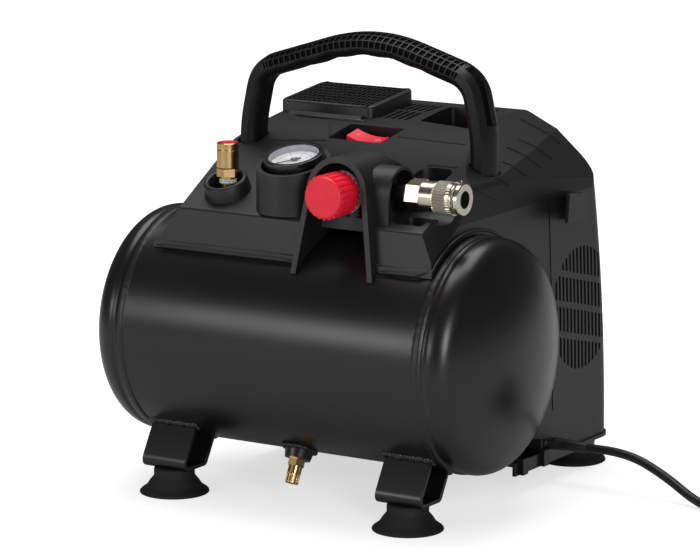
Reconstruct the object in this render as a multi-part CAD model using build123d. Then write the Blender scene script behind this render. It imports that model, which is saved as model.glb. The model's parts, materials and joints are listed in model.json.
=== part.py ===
"""Small 6 litre oil-free air compressor: a lying tank with a motor and pump under a moulded cover.

Every piece is drawn about the tank's own axis, which runs along X at y = 0, with the floor at z = 0
and the controls on the -Y side. write_parts() then moves it all so that the origin is the middle of
the footprint. Sizes are in millimetres.
"""
import os
from math import asin, atan2, cos, degrees, hypot, pi, radians, sin, sqrt, tan

from build123d import *

# ---------------------------------------------------------------- driving dimensions
TANK_R = 81.0             # outside radius of the tank
TANK_LENGTH = 322.0       # over both domed ends
DOME_DEPTH = 32.5         # how far each end bulges
KNUCKLE_R = 17.0
TANK_WALL = 1.5
SKIRT = 12.0              # straight part of an end cap
WELD_W, WELD_H = 6.0, 0.8
DRAIN_ANGLE = 26.0        # drain port, forward of straight down
BUNG_R, BUNG_BORE, BUNG_H = 9.0, 5.0, 3.0

FOOT_H = 21.0             # rubber foot, floor to seat
CUP_R, CUP_RIM, CUP_H = 24.5, 3.0, 12.0
NECK_R = 14.5
FOOT_X = 96.0             # feet are this far either side of the middle
FRONT_FOOT_Y = -50.0
STRAP_T, STRAP_W = 3.0, 35.0
TANK_LIFT = 11.5          # tank's underside above the seat of the feet

WALL = 2.6                # moulded covers
HOUSING_X = 5.0           # the cover sits this far to the right of the tank's middle
HALF_W = 114.0            # half width of the cover at its foot
SHOULDER_W = 104.5        # half width at the shoulder
CHEEK_LEFT, CHEEK_RIGHT = 94.5, 101.0   # half widths at the crease
COVER_LEAN = 16.0         # how far the rear wall comes forward at the roof
LEAN_LEFT, LEAN_RIGHT = 3.0, 8.0        # how far the side walls come in there
APRON_LEAN = 7.5          # front apron, in degrees
CORNER_R = 18.0           # upright rear corners
ROOF_H = 59.0             # roof above the top of the tank
CREASE_Y, CREASE_H = -49.5, 8.5   # front edge of the sloping deck, above the top of the tank
TANK_GAP = 0.8            # between the cover's edge and the tank
LIP, LIP_OUT = 3.0, 1.2   # raised edge where the cover meets the tank
PART_BACK = 27.0          # joint of the two covers behind the back of the tank
STEP_BACK = 17.5          # and across the roof

HANDLE_X, HANDLE_Y = 1.0, 50.0
HANDLE_W = 207.0          # over the handle's legs
HANDLE_H = 126.0          # top of the handle above the top of the tank
LEG_X, LEG_Y, LEG_R = 16.0, 24.0, 7.5
LEG_FOOT_H = 10.5         # lower end of the legs above the top of the tank
HANDLE_GAP = 0.8

CONTROL_Y = -27.0         # line of the controls
CONTROL_H = 30.0          # their height above the top of the tank
KNOB_X, KNOB_R, KNOB_L = 41.5, 15.2, 23.0
KNOB_FLUTES = 22
KNOB_LIFT = 3.0           # pulled out by this much to unlock it
GAUGE_X, GAUGE_R, GAUGE_TILT = -10.0, 21.3, 15.5
GAUGE_H = 50.0            # rim of the gauge above the top of the tank
SAFETY_X, SAFETY_R = -64.0, 7.8
SAFETY_LIFT = 1.5
COUPLER_X = 84.9          # left face of the coupler's hexagon
COUPLER_L, COUPLER_BORE = 41.0, 6.0
SLEEVE_TRAVEL = 3.0
ROCKER_TILT = 9.0         # either side of level
SCREW_R = 3.0
RUN_FIT = 0.05            # radial play of parts that turn or slide
SEAT_GAP = 0.3            # between neighbours with curved faces

MOTOR_UP = 4.5            # motor axis above the tank's axis
MOTOR_R, MOTOR_WALL = 44.0, 3.0
MOTOR_BACK = MOTOR_R + 15                # motor axis behind the back of the tank
COVER_BACK = MOTOR_BACK + MOTOR_R + 15   # rear wall behind the back of the tank, at its foot
REAR_FOOT_BACK = COVER_BACK - 19.5       # rear feet behind the back of the tank
SHAFT_R = 5.0
THROW = 5.0               # crank throw
BORE_R = 23.0             # cylinder bore
FAN_R = 40.0

CORD_D = 6.4
CORD_Y, CORD_Z = 115.0, 27.8
COIL_X, COIL_MID_R = 302.5, 35.0

# ---------------------------------------------------------------- sizes that follow
TANK_Z = FOOT_H + TANK_LIFT + TANK_R
TANK_TOP = TANK_Z + TANK_R
TANK_HALF = TANK_LENGTH / 2 - DOME_DEPTH
REAR_FOOT_Y = TANK_R + REAR_FOOT_BACK
ORIGIN_Y = (REAR_FOOT_Y + CUP_R - TANK_R - WELD_H) / 2

CREASE_Z = TANK_TOP + CREASE_H
ROOF_Z = TANK_TOP + ROOF_H
REAR_Y = TANK_R + COVER_BACK
ROOF_Y = REAR_Y - COVER_LEAN
SKIRT_Z = FOOT_H - 1.5            # lower edge of the cover
PART_Y = TANK_R + PART_BACK
PART_STEP = TANK_R + STEP_BACK
LEG_FOOT_Z = TANK_TOP + LEG_FOOT_H
LEG_REACH = (HANDLE_W - LEG_X) / 2
GAUGE_Z = TANK_TOP + GAUGE_H
CONTROL_Z = TANK_TOP + CONTROL_H
MOTOR_Y = TANK_R + MOTOR_BACK
MOTOR_Z = TANK_Z + MOTOR_UP
BASE_Z = FOOT_H                   # underside of the motor's base plate
BIG = 600.0
BOTTOM = (Align.CENTER, Align.CENTER, Align.MIN)


# ---------------------------------------------------------------- small helpers
def rod(axis, at, r, length):
    """A cylinder that starts at the point `at` and runs along +X, +Y or +Z."""
    turn = {"x": Rot(0, 90, 0), "y": Rot(-90, 0, 0), "z": Rot(0, 0, 0)}[axis]
    return Pos(*at) * turn * Cylinder(r, length, align=BOTTOM)


def tube(axis, at, r, bore, length):
    return rod(axis, at, r, length) - rod(axis, at, bore, length)


def block(x0, x1, y0, y1, z0, z1):
    return Pos((x0 + x1) / 2, (y0 + y1) / 2, (z0 + z1) / 2) * Box(x1 - x0, y1 - y0, z1 - z0)


def rounded_block(x0, x1, y0, y1, z0, z1, r, axis=Axis.Z):
    solid = block(x0, x1, y0, y1, z0, z1)
    return fillet(solid.edges().filter_by(axis), r)


def prism(plane, points, length, both=True):
    """Straight-sided outline in the plane, extruded."""
    return extrude(plane * make_face(Polyline(*points, close=True).edges()), length, both=both)


def hexagon(across, length):
    return extrude(RegularPolygon(across / 2, 6, major_radius=False), length)


def tank_cut(extra):
    """The tank's cylinder made larger all round, and long enough to cut anything."""
    return rod("x", (-BIG / 2, 0, TANK_Z), TANK_R + extra, BIG)


def mirrored(solid):
    return mirror(solid, Plane.YZ)


# ---------------------------------------------------------------- the deck's profile
DECK_START = 26.0         # slope at the crease, in degrees


def deck_circle():
    """Centre and radius of the deck, seen from the side."""
    rise, run = ROOF_Z - CREASE_Z, ROOF_Y - CREASE_Y
    start = radians(DECK_START)
    r = hypot(rise, run) / (2 * sin(start - atan2(rise, run)))
    return CREASE_Y + r * sin(start), CREASE_Z - r * cos(start), r


def deck_z(y):
    cy, cz, r = deck_circle()
    return cz + sqrt(r * r - (y - cy) ** 2)


def deck_slope(y):
    cy, _, r = deck_circle()
    return degrees(asin((cy - y) / r))


def on_deck(x, y):
    """A place on the deck, with its local Z square to the surface."""
    return Pos(x, y, deck_z(y)) * Rot(deck_slope(y), 0, 0)


# ---------------------------------------------------------------- tank
def dome(wall):
    """Solid of an end cap moved in by `wall`: a skirt back to the seam, a knuckle and a flatter crown."""
    rim_r, depth, knuckle = TANK_R - wall, DOME_DEPTH - wall, KNUCKLE_R - wall
    crown = (rim_r ** 2 + depth ** 2 - 2 * rim_r * knuckle) / (2 * (depth - knuckle))
    seam, rim = TANK_HALF - SKIRT, TANK_HALF
    turn = atan2(rim_r - knuckle, crown - depth)

    def knuckle_at(angle):
        return rim + knuckle * cos(angle), rim_r - knuckle + knuckle * sin(angle)

    def crown_at(angle):
        return rim + depth - crown + crown * cos(angle), crown * sin(angle)

    half = make_face([
        ThreePointArc((rim, rim_r), knuckle_at((turn + pi / 2) / 2), knuckle_at(turn)),
        ThreePointArc(knuckle_at(turn), crown_at(turn / 2), (rim + depth, 0)),
        Line((rim + depth, 0), (seam, 0)),
        Line((seam, 0), (seam, rim_r)),
        Line((seam, rim_r), (rim, rim_r)),
    ])
    return revolve(half, Axis.X)


def end_cap():
    """Pressed end cap with a weld bead round its seam."""
    seam = TANK_HALF - SKIRT
    bead = make_face([
        ThreePointArc((seam, TANK_R), (seam + WELD_W / 2, TANK_R + WELD_H), (seam + WELD_W, TANK_R)),
        Line((seam + WELD_W, TANK_R), (seam + WELD_W, TANK_R - TANK_WALL / 2)),
        Line((seam + WELD_W, TANK_R - TANK_WALL / 2), (seam, TANK_R - TANK_WALL / 2)),
        Line((seam, TANK_R - TANK_WALL / 2), (seam, TANK_R)),
    ])
    cap = dome(0) + revolve(bead, Axis.X)
    return Pos(0, 0, TANK_Z) * (cap - dome(TANK_WALL))


def drain_place(out):
    """A place on the drain's axis, `out` beyond the tank's wall, with local Z pointing out of the tank."""
    return Pos(0, 0, TANK_Z) * Rot(180 - DRAIN_ANGLE, 0, 0) * Pos(0, 0, TANK_R + out)


DRAIN_BUSH_L, DRAIN_BORE = 8.0, 4.5
OUTLET_AT, CHECK_AT = (-40.0, CONTROL_Y), (-41.0, 36.0)


def bung_top(y):
    """Height of a port's flat top, `BUNG_H` clear of the highest tank surface under it."""
    inner = max(abs(y) - BUNG_R, 0)
    return TANK_Z + sqrt(TANK_R ** 2 - inner ** 2) + BUNG_H


def handle_bracket(x):
    """Steel strap welded across the top of the tank, which a leg of the handle is screwed down to."""
    half, t = LEG_Y / 2 + 1, STRAP_T
    top, low = LEG_FOOT_Z, TANK_Z + 40
    outer = [(HANDLE_Y - half - 4, low), (HANDLE_Y - half, top), (HANDLE_Y + half, top),
             (HANDLE_Y + half + 4, low)]
    inner = [(HANDLE_Y + half + 4 - t, low), (HANDLE_Y + half - t, top - t), (HANDLE_Y - half + t, top - t),
             (HANDLE_Y - half - 4 + t, low)]
    strap = prism(Plane.YZ * Pos(0, 0, x), outer + inner, LEG_X / 2)
    strap -= tank_cut(-TANK_WALL / 2)
    return strap - rod("z", (x, HANDLE_Y, top - 2 * t), SCREW_R + SEAT_GAP, 3 * t)


def tank():
    half = TANK_HALF - SKIRT
    shell = tube("x", (-half, 0, TANK_Z), TANK_R, TANK_R - TANK_WALL, 2 * half)
    shell += drain_place(-2) * Cone(11, 9, DRAIN_BUSH_L + 2, align=BOTTOM)
    shell -= drain_place(-6) * Cylinder(DRAIN_BORE, DRAIN_BUSH_L + 12, align=BOTTOM)
    for x, y in (OUTLET_AT, CHECK_AT):
        boss = rod("z", (x, y, bung_top(y) - 12), BUNG_R, 12) - tank_cut(-TANK_WALL / 2)
        shell += boss
        shell -= rod("z", (x, y, bung_top(y) - 20), BUNG_BORE, 30)
    for sign in (-1, 1):
        shell += handle_bracket(HANDLE_X + sign * LEG_REACH)
    cap = end_cap()
    return {"tank_shell": shell, "tank_end_right": cap, "tank_end_left": mirrored(cap)}


# ---------------------------------------------------------------- feet and their brackets
FOOT_BORE = SCREW_R + SEAT_GAP


def foot():
    """Suction foot: a wide thin rim, a cone and a round neck, hollow underneath."""
    outline = [(FOOT_BORE, FOOT_H), (NECK_R - 1, FOOT_H), (NECK_R, FOOT_H - 1), (NECK_R, CUP_H),
               (CUP_R - 1, CUP_RIM), (CUP_R, CUP_RIM - 1), (CUP_R, 0), (CUP_R - 3, 0),
               (NECK_R - 2, CUP_H - 5), (9.5, CUP_H - 4), (9.5, CUP_H - 1), (FOOT_BORE, CUP_H - 1)]
    return revolve(Plane.XZ * make_face(Polyline(*outline, close=True).edges()), Axis.Z)


def foot_screw(grip):
    """Screw up through a foot, its head inside the cup and its nut above what it clamps."""
    head = Pos(0, 0, CUP_H - 5) * Cylinder(5.5, 4.0, align=BOTTOM)
    return head + Pos(0, 0, CUP_H - 1) * Cylinder(SCREW_R, FOOT_H - CUP_H + 1 + grip + 5.5, align=BOTTOM)


def strap_outline():
    """Side view of a front bracket: a flat seat with two legs that spread to the tank."""
    seat = BASE_Z
    top = seat + 34
    outer = [(FRONT_FOOT_Y + 5, top), (FRONT_FOOT_Y - 14, seat), (FRONT_FOOT_Y + 14, seat),
             (FRONT_FOOT_Y + 30, seat + 22)]
    t = STRAP_T
    inner = [(FRONT_FOOT_Y + 30 - 1.2 * t, seat + 22), (FRONT_FOOT_Y + 14 - 0.7 * t, seat + t),
             (FRONT_FOOT_Y - 14 + 0.75 * t, seat + t), (FRONT_FOOT_Y + 5 + 1.15 * t, top)]
    return outer + inner


def foot_bracket(x):
    strap = prism(Plane.YZ * Pos(0, 0, x), strap_outline(), STRAP_W / 2)
    bends = [e for e in strap.edges().filter_by(Axis.X) if e.center().Z < BASE_Z + STRAP_T + 1]
    strap = fillet(bends, STRAP_T * 0.45)
    strap -= tank_cut(0)
    strap -= rod("z", (x, FRONT_FOOT_Y, BASE_Z - 1), FOOT_BORE, STRAP_T + 2)
    return strap


def feet():
    parts = {}
    screws, nuts = [], []
    for side, x in (("left", -FOOT_X), ("right", FOOT_X)):
        parts[f"foot_bracket_{side}"] = foot_bracket(x)
        for end, y in (("front", FRONT_FOOT_Y), ("rear", REAR_FOOT_Y)):
            parts[f"foot_{end}_{side}"] = Pos(x, y, 0) * foot()
            screws.append(Pos(x, y, 0) * foot_screw(STRAP_T))
            nut = hexagon(10, 5) - Cylinder(SCREW_R + RUN_FIT, 20)
            nuts.append(Pos(x, y, BASE_Z + STRAP_T) * nut)
    parts["foot_bolts"] = screws + nuts
    return parts


# ---------------------------------------------------------------- base plate under the motor
BASE_FRONT = 62.0
BASE_SKIRT = 6.5          # side edges, turned down
MOUNT_X, MOUNT_BACK = (-42.0, 33.0), 30.0
TAB_X, TAB_W, TAB_H = (-65.0, 75.0), 24.0, 40.0


def mount_places():
    return [(x, y) for x in MOUNT_X for y in (MOTOR_Y - MOUNT_BACK, MOTOR_Y + MOUNT_BACK)]


def motor_base():
    """Pressed steel tray: its front edge turns up to the tank, its sides turn down, and two tabs at the
    back take the cover's screws."""
    half, back = HALF_W - WALL - 1, REAR_Y - 9
    low, top, t = BASE_Z - BASE_SKIRT, BASE_Z + STRAP_T, STRAP_T * 0.8
    shape = block(HOUSING_X - half, HOUSING_X + half, BASE_FRONT, back, low, top)
    shape = fillet(shape.edges().filter_by(Axis.Z).group_by(Axis.Y)[-1], CORNER_R - WALL)
    inner = block(HOUSING_X - half + t, HOUSING_X + half - t, BASE_FRONT - 1, back - t, low - 1, BASE_Z)
    plate = shape - fillet(inner.edges().filter_by(Axis.Z).group_by(Axis.Y)[-1], CORNER_R - WALL - t)
    for x in (HOUSING_X - half, HOUSING_X + half):
        plate += [block(x - 3, x + 3, y, y + 7, low, top + 2) for y in (BASE_FRONT + 6, BASE_FRONT + 36)]
    plate -= [rod("z", (x, REAR_FOOT_Y, low - 1), NECK_R + 1, BASE_Z - low + 1) for x in (-FOOT_X, FOOT_X)]
    front = [(BASE_FRONT, BASE_Z), (BASE_FRONT + STRAP_T, BASE_Z + 1), (34, BASE_Z + 44), (30, BASE_Z + 42)]
    plate += prism(Plane.YZ, front, 70)
    wall = REAR_Y - WALL - SEAT_GAP - 0.4
    for x in TAB_X:
        plate += block(x - TAB_W / 2, x + TAB_W / 2, wall - t, wall, BASE_Z, BASE_Z + TAB_H)
        plate += block(x - TAB_W / 2, x + TAB_W / 2, back - 2, wall, BASE_Z, top)
        plate -= rod("y", (x, wall - 2 * t, BASE_Z + TAB_H - 10), SCREW_R + SEAT_GAP, 3 * t)
    plate -= tank_cut(0)
    for x, y in [(-FOOT_X, REAR_FOOT_Y), (FOOT_X, REAR_FOOT_Y)] + mount_places():
        plate -= rod("z", (x, y, BASE_Z - 1), FOOT_BORE, STRAP_T + 2)
    return plate


# ---------------------------------------------------------------- the moulded cover's outer form
def side_face(inset):
    """The cover seen from the side: upright apron, arched deck and roof."""
    low, foot_y = -20, CREASE_Y - (CREASE_Z - TANK_Z) * tan(radians(APRON_LEAN))
    outline = make_face([
        Line((foot_y, TANK_Z), (CREASE_Y, CREASE_Z)),
        ThreePointArc((CREASE_Y, CREASE_Z), (70, deck_z(70)), (ROOF_Y, ROOF_Z)),
        Line((ROOF_Y, ROOF_Z), (REAR_Y + 20, ROOF_Z - 60)),
        Line((REAR_Y + 20, ROOF_Z - 60), (REAR_Y + 20, low)),
        Line((REAR_Y + 20, low), (foot_y, low)),
        Line((foot_y, low), (foot_y, TANK_Z)),
    ])
    outline = fillet(outline.vertices().filter_by(lambda v: abs(v.Y - CREASE_Z) < 1), 3)
    outline = fillet(outline.vertices().filter_by(lambda v: abs(v.Y - ROOF_Z) < 1), 6)
    return Plane.YZ * (offset(outline, -inset, kind=Kind.INTERSECTION) if inset else outline)


def front_face(inset):
    """The cover seen from the front: a wall and a sloping shoulder on the right, a plain wall on the left."""
    low, shoulder, brow = -20, CREASE_Z + 23, ROOF_Z - 20.5
    right = [(HALF_W + 30, low), (HALF_W + 30, TANK_Z), (HALF_W - 1, TANK_TOP - 10), (SHOULDER_W, shoulder),
             (SHOULDER_W - 15, brow), (30, ROOF_Z + 9)]
    left = [(-HALF_W - 30, ROOF_Z + 9), (-HALF_W - 30, low)]
    outline = make_face(Polyline(*right, *left, close=True).edges())
    outline = fillet(outline.vertices().filter_by(lambda v: abs(v.Y - brow) < 1), 20)
    outline = fillet(outline.vertices().filter_by(lambda v: abs(v.Y - shoulder) < 1), 8)
    outline = Pos(HOUSING_X, 0) * outline
    return Plane.XZ * (offset(outline, -inset, kind=Kind.INTERSECTION) if inset else outline)


def plan_section(z, inset):
    """Plan of the cover at one height: its sides and back lean in and bow out a little."""
    up = (z - SKIRT_Z) / (ROOF_Z - SKIRT_Z)
    left = HOUSING_X - HALF_W + LEAN_LEFT * up * up + inset
    right = HOUSING_X + HALF_W - LEAN_RIGHT * up * up - inset
    half = (right - left) / 2
    rear = REAR_Y - COVER_LEAN * up * up - inset
    front = -TANK_R - 40
    plan = RectangleRounded(2 * half, rear - front, CORNER_R - inset)
    return Pos((left + right) / 2, (rear + front) / 2, z) * plan


def hull(inset=0.0):
    """The cover's form as a solid, its walls moved in by `inset`."""
    heights = (SKIRT_Z - 40, SKIRT_Z, (SKIRT_Z + ROOF_Z) / 2, ROOF_Z + 10)
    solid = loft([plan_section(z, inset) for z in heights])
    solid &= extrude(side_face(inset), BIG / 2, both=True)
    solid &= extrude(front_face(inset), BIG, both=True)
    for sign, crease_w, back_w in ((-1, CHEEK_LEFT, HALF_W - 3.5), (1, CHEEK_RIGHT, SHOULDER_W + 1.5)):
        solid -= cheek(sign, crease_w, back_w, inset)
    return solid - rear_shoulder(inset)


def half_space(points, inset):
    """Everything beyond the plane through three points, given anticlockwise as seen from outside."""
    a, b, c = [Vector(*p) for p in points]
    out = (b - a).cross(c - a).normalized()
    return Plane(origin=a - out * inset, z_dir=out) * Pos(0, 0, BIG / 2) * Box(BIG, BIG, BIG)


def cheek(sign, crease_w, back_w, inset):
    """Sloping facet between the deck's edge and the tank, narrowest at the crease."""
    low = (HOUSING_X + sign * (HALF_W - 1), CREASE_Y, CREASE_Z - 24)
    crease = (HOUSING_X + sign * crease_w, CREASE_Y, CREASE_Z)
    back = (HOUSING_X + sign * back_w, CREASE_Y + 90, CREASE_Z + 34)
    return half_space((low, back, crease) if sign > 0 else (low, crease, back), inset)


def rear_shoulder(inset):
    """Chamfer along the right shoulder that grows towards the back."""
    brow = (HOUSING_X + SHOULDER_W - 21, ROOF_Y - 3, ROOF_Z - 21.5)
    wall = (HOUSING_X + SHOULDER_W - 3, ROOF_Y - 3, ROOF_Z - 38)
    front = (HOUSING_X + SHOULDER_W - 1, HANDLE_Y - 10, CREASE_Z + 24)
    return half_space((brow, front, wall), inset)


def below_cover():
    """What lies under the cover's lower edge: level at the back, then rising to the tank."""
    rise = [(-BIG, -80), (BIG, -80), (BIG, SKIRT_Z), (REAR_Y - 39, SKIRT_Z), (TANK_R - 23, SKIRT_Z + 24.5),
            (0, TANK_Z), (-BIG, TANK_Z)]
    return prism(Plane.YZ, rise, BIG)


def rear_zone():
    """Space that belongs to the rear cover; the joint steps forward across the roof."""
    step = [(PART_Y, -80), (BIG, -80), (BIG, BIG), (PART_STEP, BIG), (PART_STEP, ROOF_Z - 13),
            (PART_Y, ROOF_Z - 21)]
    return prism(Plane.YZ, step, BIG)


# ---------------------------------------------------------------- features of the front cover
ARCH_R, ARCH_FOOT, ARCH_WALL = 23.5, 33.0, 4.0
ARCH_UP = 1.5             # arch's centre above the line of the controls
TUNNEL_BACK = CONTROL_Y + 15
BOSS_R, BOSS_WALL, BOSS_X = 18.3, 2.3, (60.0, 77.5)
SCOOP_R = 18.8
COLLAR_R, COLLAR_TOP = GAUGE_R + 4.2, TANK_TOP + 44.5
RING_R, RING_BORE, RING_H = 15.5, 11.5, 6.0
SWITCH_X, SWITCH_Y = -15.2, 75.0
RECESS_X, RECESS_Y, RECESS_DEPTH = 45.0, 32.0, 9.0
MANIFOLD_X, MANIFOLD_Y = (-73.0, 56.0), (CONTROL_Y - 7, CONTROL_Y + 7)
MANIFOLD_Z = (TANK_TOP + 2.5, TANK_TOP + 11.5)
NIPPLE_R = 6.0
SWITCH_L, SWITCH_W = 31.0, 18.2


def arch_face(grow):
    """Arch about the regulator: a round head on two legs that spread towards the tank."""
    head = Circle(ARCH_R + grow).edges()
    foot = Line((-ARCH_FOOT - grow, TANK_TOP - CONTROL_Z - 30), (ARCH_FOOT + grow, TANK_TOP - CONTROL_Z - 30))
    return Plane.XZ * Pos(KNOB_X, CONTROL_Z + ARCH_UP) * make_hull([*head, foot.edge()])


def arch_side():
    """Side view of the arch: its face leans back and its crown falls away to the deck."""
    crown = CONTROL_Z + ARCH_UP + ARCH_R
    return [(CREASE_Y - 12, TANK_TOP - 34), (CREASE_Y - 1.5, crown + 2), (CONTROL_Y + 6, crown + 2),
            (CONTROL_Y + 52, crown - 26), (CONTROL_Y + 52, TANK_TOP - 34)]


def arch():
    side = prism(Plane.YZ, arch_side(), BIG / 2)
    body = extrude(arch_face(0), BIG / 4, both=True) & side
    body -= hull(WALL) & block(-BIG, BIG, TUNNEL_BACK + 3, BIG, 0, BIG)
    hollow = extrude(arch_face(-ARCH_WALL), BIG / 4, both=True)
    wall = block(-BIG, BIG, TUNNEL_BACK, TUNNEL_BACK + 3, 0, BIG)
    behind = hollow & block(-BIG, BIG, TUNNEL_BACK + 3, BIG, 0, BIG) & Pos(0, -ARCH_WALL, -ARCH_WALL) * side
    front = hollow & block(-BIG, BIG, -BIG, TUNNEL_BACK, 0, BIG)
    return body, front, behind


def boss():
    """Round-topped boss that the coupler comes out of, with its blind hole."""
    x0, x1 = BOSS_X
    body = rod("x", (x0, CONTROL_Y, CONTROL_Z), BOSS_R, x1 - x0)
    body += block(x0, x1, CONTROL_Y - BOSS_R, CONTROL_Y + BOSS_R, TANK_TOP - 10, CONTROL_Z)
    return body, rod("x", (x0 + ARCH_WALL, CONTROL_Y, CONTROL_Z), BOSS_R - BOSS_WALL, BIG / 4)


def scoop(grow):
    """Trough under the coupler, open to the right, with finger spaces behind it and a well below it."""
    x0 = BOSS_X[1] - grow
    trough = rod("x", (x0, CONTROL_Y, CONTROL_Z), SCOOP_R + grow, BIG / 4)
    pocket = rounded_block(x0 + 3, x0 + 29 + 2 * grow, CONTROL_Y, CONTROL_Y + 33 + grow,
                           CONTROL_Z - 12 - grow, CONTROL_Z + 40, 6 + grow)
    lobe = rounded_block(BOSS_X[0] - grow, BOSS_X[0] + 26 + grow, CONTROL_Y + 8 - grow, CONTROL_Y + 56 + grow,
                         CONTROL_Z - 8 - grow, CONTROL_Z + 40, 8 + grow)
    well = rounded_block(BOSS_X[1] + 1 - grow, BOSS_X[1] + 25 + grow, CONTROL_Y - 15 - grow, CONTROL_Y + 8 + grow,
                         TANK_TOP + 2 - grow, CONTROL_Z, 4 + grow)
    return trough + pocket + lobe + well


def collar():
    """Upright collar around the gauge, its rim cut at the gauge's tilt."""
    at = (GAUGE_X, CONTROL_Y, CREASE_Z + 1.5)
    body = rod("z", at, COLLAR_R, 80)
    above = Pos(GAUGE_X, CONTROL_Y, COLLAR_TOP) * Rot(GAUGE_TILT, 0, 0) * Pos(0, 0, 50) * Box(120, 120, 100)
    return body - above, rod("z", (GAUGE_X, CONTROL_Y, MANIFOLD_Z[1]), COLLAR_R - 3.2, 100)


def safety_ring():
    place = on_deck(SAFETY_X, CONTROL_Y)
    ring = place * Pos(0, 0, -WALL) * Cylinder(RING_R, RING_H + WALL, align=BOTTOM)
    ring = fillet(ring.edges().sort_by(Axis.Z)[-1:], 1.6)
    return ring, place * Pos(0, 0, -20) * Cylinder(RING_BORE, 60, align=BOTTOM)


def deck_box(x, y, w, d, down, up=30.0, r=2.0):
    """A box sunk square to the deck."""
    box = fillet(Box(w, d, down + up).edges().filter_by(Axis.Z), r)
    return on_deck(x, y) * Pos(0, 0, (up - down) / 2) * box


def leg_holes():
    hole = rounded_block(-LEG_X / 2 - HANDLE_GAP, LEG_X / 2 + HANDLE_GAP, HANDLE_Y - LEG_Y / 2 - HANDLE_GAP,
                         HANDLE_Y + LEG_Y / 2 + HANDLE_GAP, TANK_TOP - 20, ROOF_Z + 20, LEG_R + HANDLE_GAP)
    return [Pos(HANDLE_X + x, 0, 0) * hole for x in (-LEG_REACH, LEG_REACH)]


def front_cover(shell):
    """Console: sloping deck with the arch, the coupler's boss and trough, the gauge's collar and the switch."""
    form = hull()
    arch_body, tunnel, behind = arch()
    boss_body, boss_hole = boss()
    collar_body, collar_bore = collar()
    ring, ring_bore = safety_ring()
    liner = scoop(WALL) + deck_box(SWITCH_X, SWITCH_Y, RECESS_X + 2 * WALL, RECESS_Y + 2 * WALL,
                                   RECESS_DEPTH + WALL, r=2 + WALL)
    cover = shell - rear_zone()
    cover += (liner & form) + arch_body + boss_body + (collar_body - hull(WALL)) + ring
    cover -= scoop(0) - boss_body
    cover -= [tunnel, behind, boss_hole, collar_bore, ring_bore]
    cover -= deck_box(SWITCH_X, SWITCH_Y, RECESS_X, RECESS_Y, RECESS_DEPTH)
    cover -= deck_box(SWITCH_X, SWITCH_Y, SWITCH_L, SWITCH_W, 40)
    cover -= leg_holes() + [rod("x", (KNOB_X, CONTROL_Y, CONTROL_Z), NIPPLE_R + SEAT_GAP, BOSS_X[1] - KNOB_X)]
    cover -= [tank_cut(TANK_GAP), rear_zone(), manifold_space()]
    return cover


def manifold_space():
    gap = 0.6
    return block(MANIFOLD_X[0] - gap, MANIFOLD_X[1] + gap, MANIFOLD_Y[0] - gap, MANIFOLD_Y[1] + gap,
                 MANIFOLD_Z[0] - gap, MANIFOLD_Z[1] + gap)


# ---------------------------------------------------------------- features of the rear cover
BLOCK_X, BLOCK_Y, BLOCK_TOP = (-107.5, -34.0), (TANK_R + 26, TANK_R + 72), ROOF_Z + 9.0
BLOCK_TILT = 6.5          # fall of the raised block's top over its depth
GRILLE_R, GRILLE_Y, GRILLE_Z = 44.0, TANK_R + 71, TANK_Z + 6.5
TRAY_DEPTH = 38.0


def tray_face(grow):
    """Outline of the open accessory tray in the roof."""
    y = TANK_R
    outline = make_face(Polyline((7, y + 31), (54, y + 23), (41, y + 87), (2, y + 83), close=True).edges())
    outline = fillet(outline.vertices(), 4)
    return offset(outline, grow) if grow else outline


def raised_block(inset):
    """Block on the roof with its top falling forward, its walls moved in by `inset`."""
    x0, x1 = BLOCK_X
    y0, y1 = BLOCK_Y[0] + inset, BLOCK_Y[1] - inset
    side = [(y0, ROOF_Z - 55), (y1, ROOF_Z - 55), (y1, BLOCK_TOP - inset),
            (y0, BLOCK_TOP - BLOCK_TILT - inset)]
    return Pos((x0 + x1) / 2, 0, 0) * prism(Plane.YZ, side, (x1 - x0) / 2 - inset)


def raised_grille():
    """The raised block with four staggered rows of slots."""
    x0, x1 = BLOCK_X
    y0, y1 = BLOCK_Y
    body = raised_block(0)
    body = fillet(body.edges().filter_by(Axis.Z), 5)
    body = chamfer(body.faces().sort_by(Axis.Z)[-1].edges(), 1.6)
    slots = []
    rows, pitch = 4, 5.4
    depth = (y1 - y0 - 8) / rows
    for row in range(rows):
        y = y0 + 4 + depth * (row + 0.5)
        start = x0 + 8 + (pitch / 2 if row % 2 else 0)
        count = int((x1 - 6 - start) / pitch)
        slots += [Pos(start + pitch * i, y, BLOCK_TOP) * Box(2.6, depth - 3, 24) for i in range(count)]
    return body, slots


def front_brow():
    """Low ledge along the front of the raised block."""
    x0, x1 = BLOCK_X
    back = BLOCK_Y[0] - 2
    side = [(PART_STEP, deck_z(PART_STEP) - 1), (back - 3, deck_z(back - 3) + 2.2),
            (back, deck_z(back) + 1.6), (back, deck_z(back) - 2)]
    ledge = Pos((x0 + x1) / 2 + 4, 0, 0) * prism(Plane.YZ, side, (x1 - x0) / 2 - 6)
    return fillet(ledge.edges().filter_by(Axis.X).group_by(Axis.Z)[-1], 1.0)


def roof_vent():
    """Two rows of slots beside the raised grille."""
    slots = []
    for row in range(2):
        y = TANK_R + 42 + 28 * row
        slots += [Pos(-27 + 5.4 * i, y, ROOF_Z) * Rot(deck_slope(y), 0, 0) * Box(2.8, 24, 30)
                  for i in range(5)]
    return slots


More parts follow.
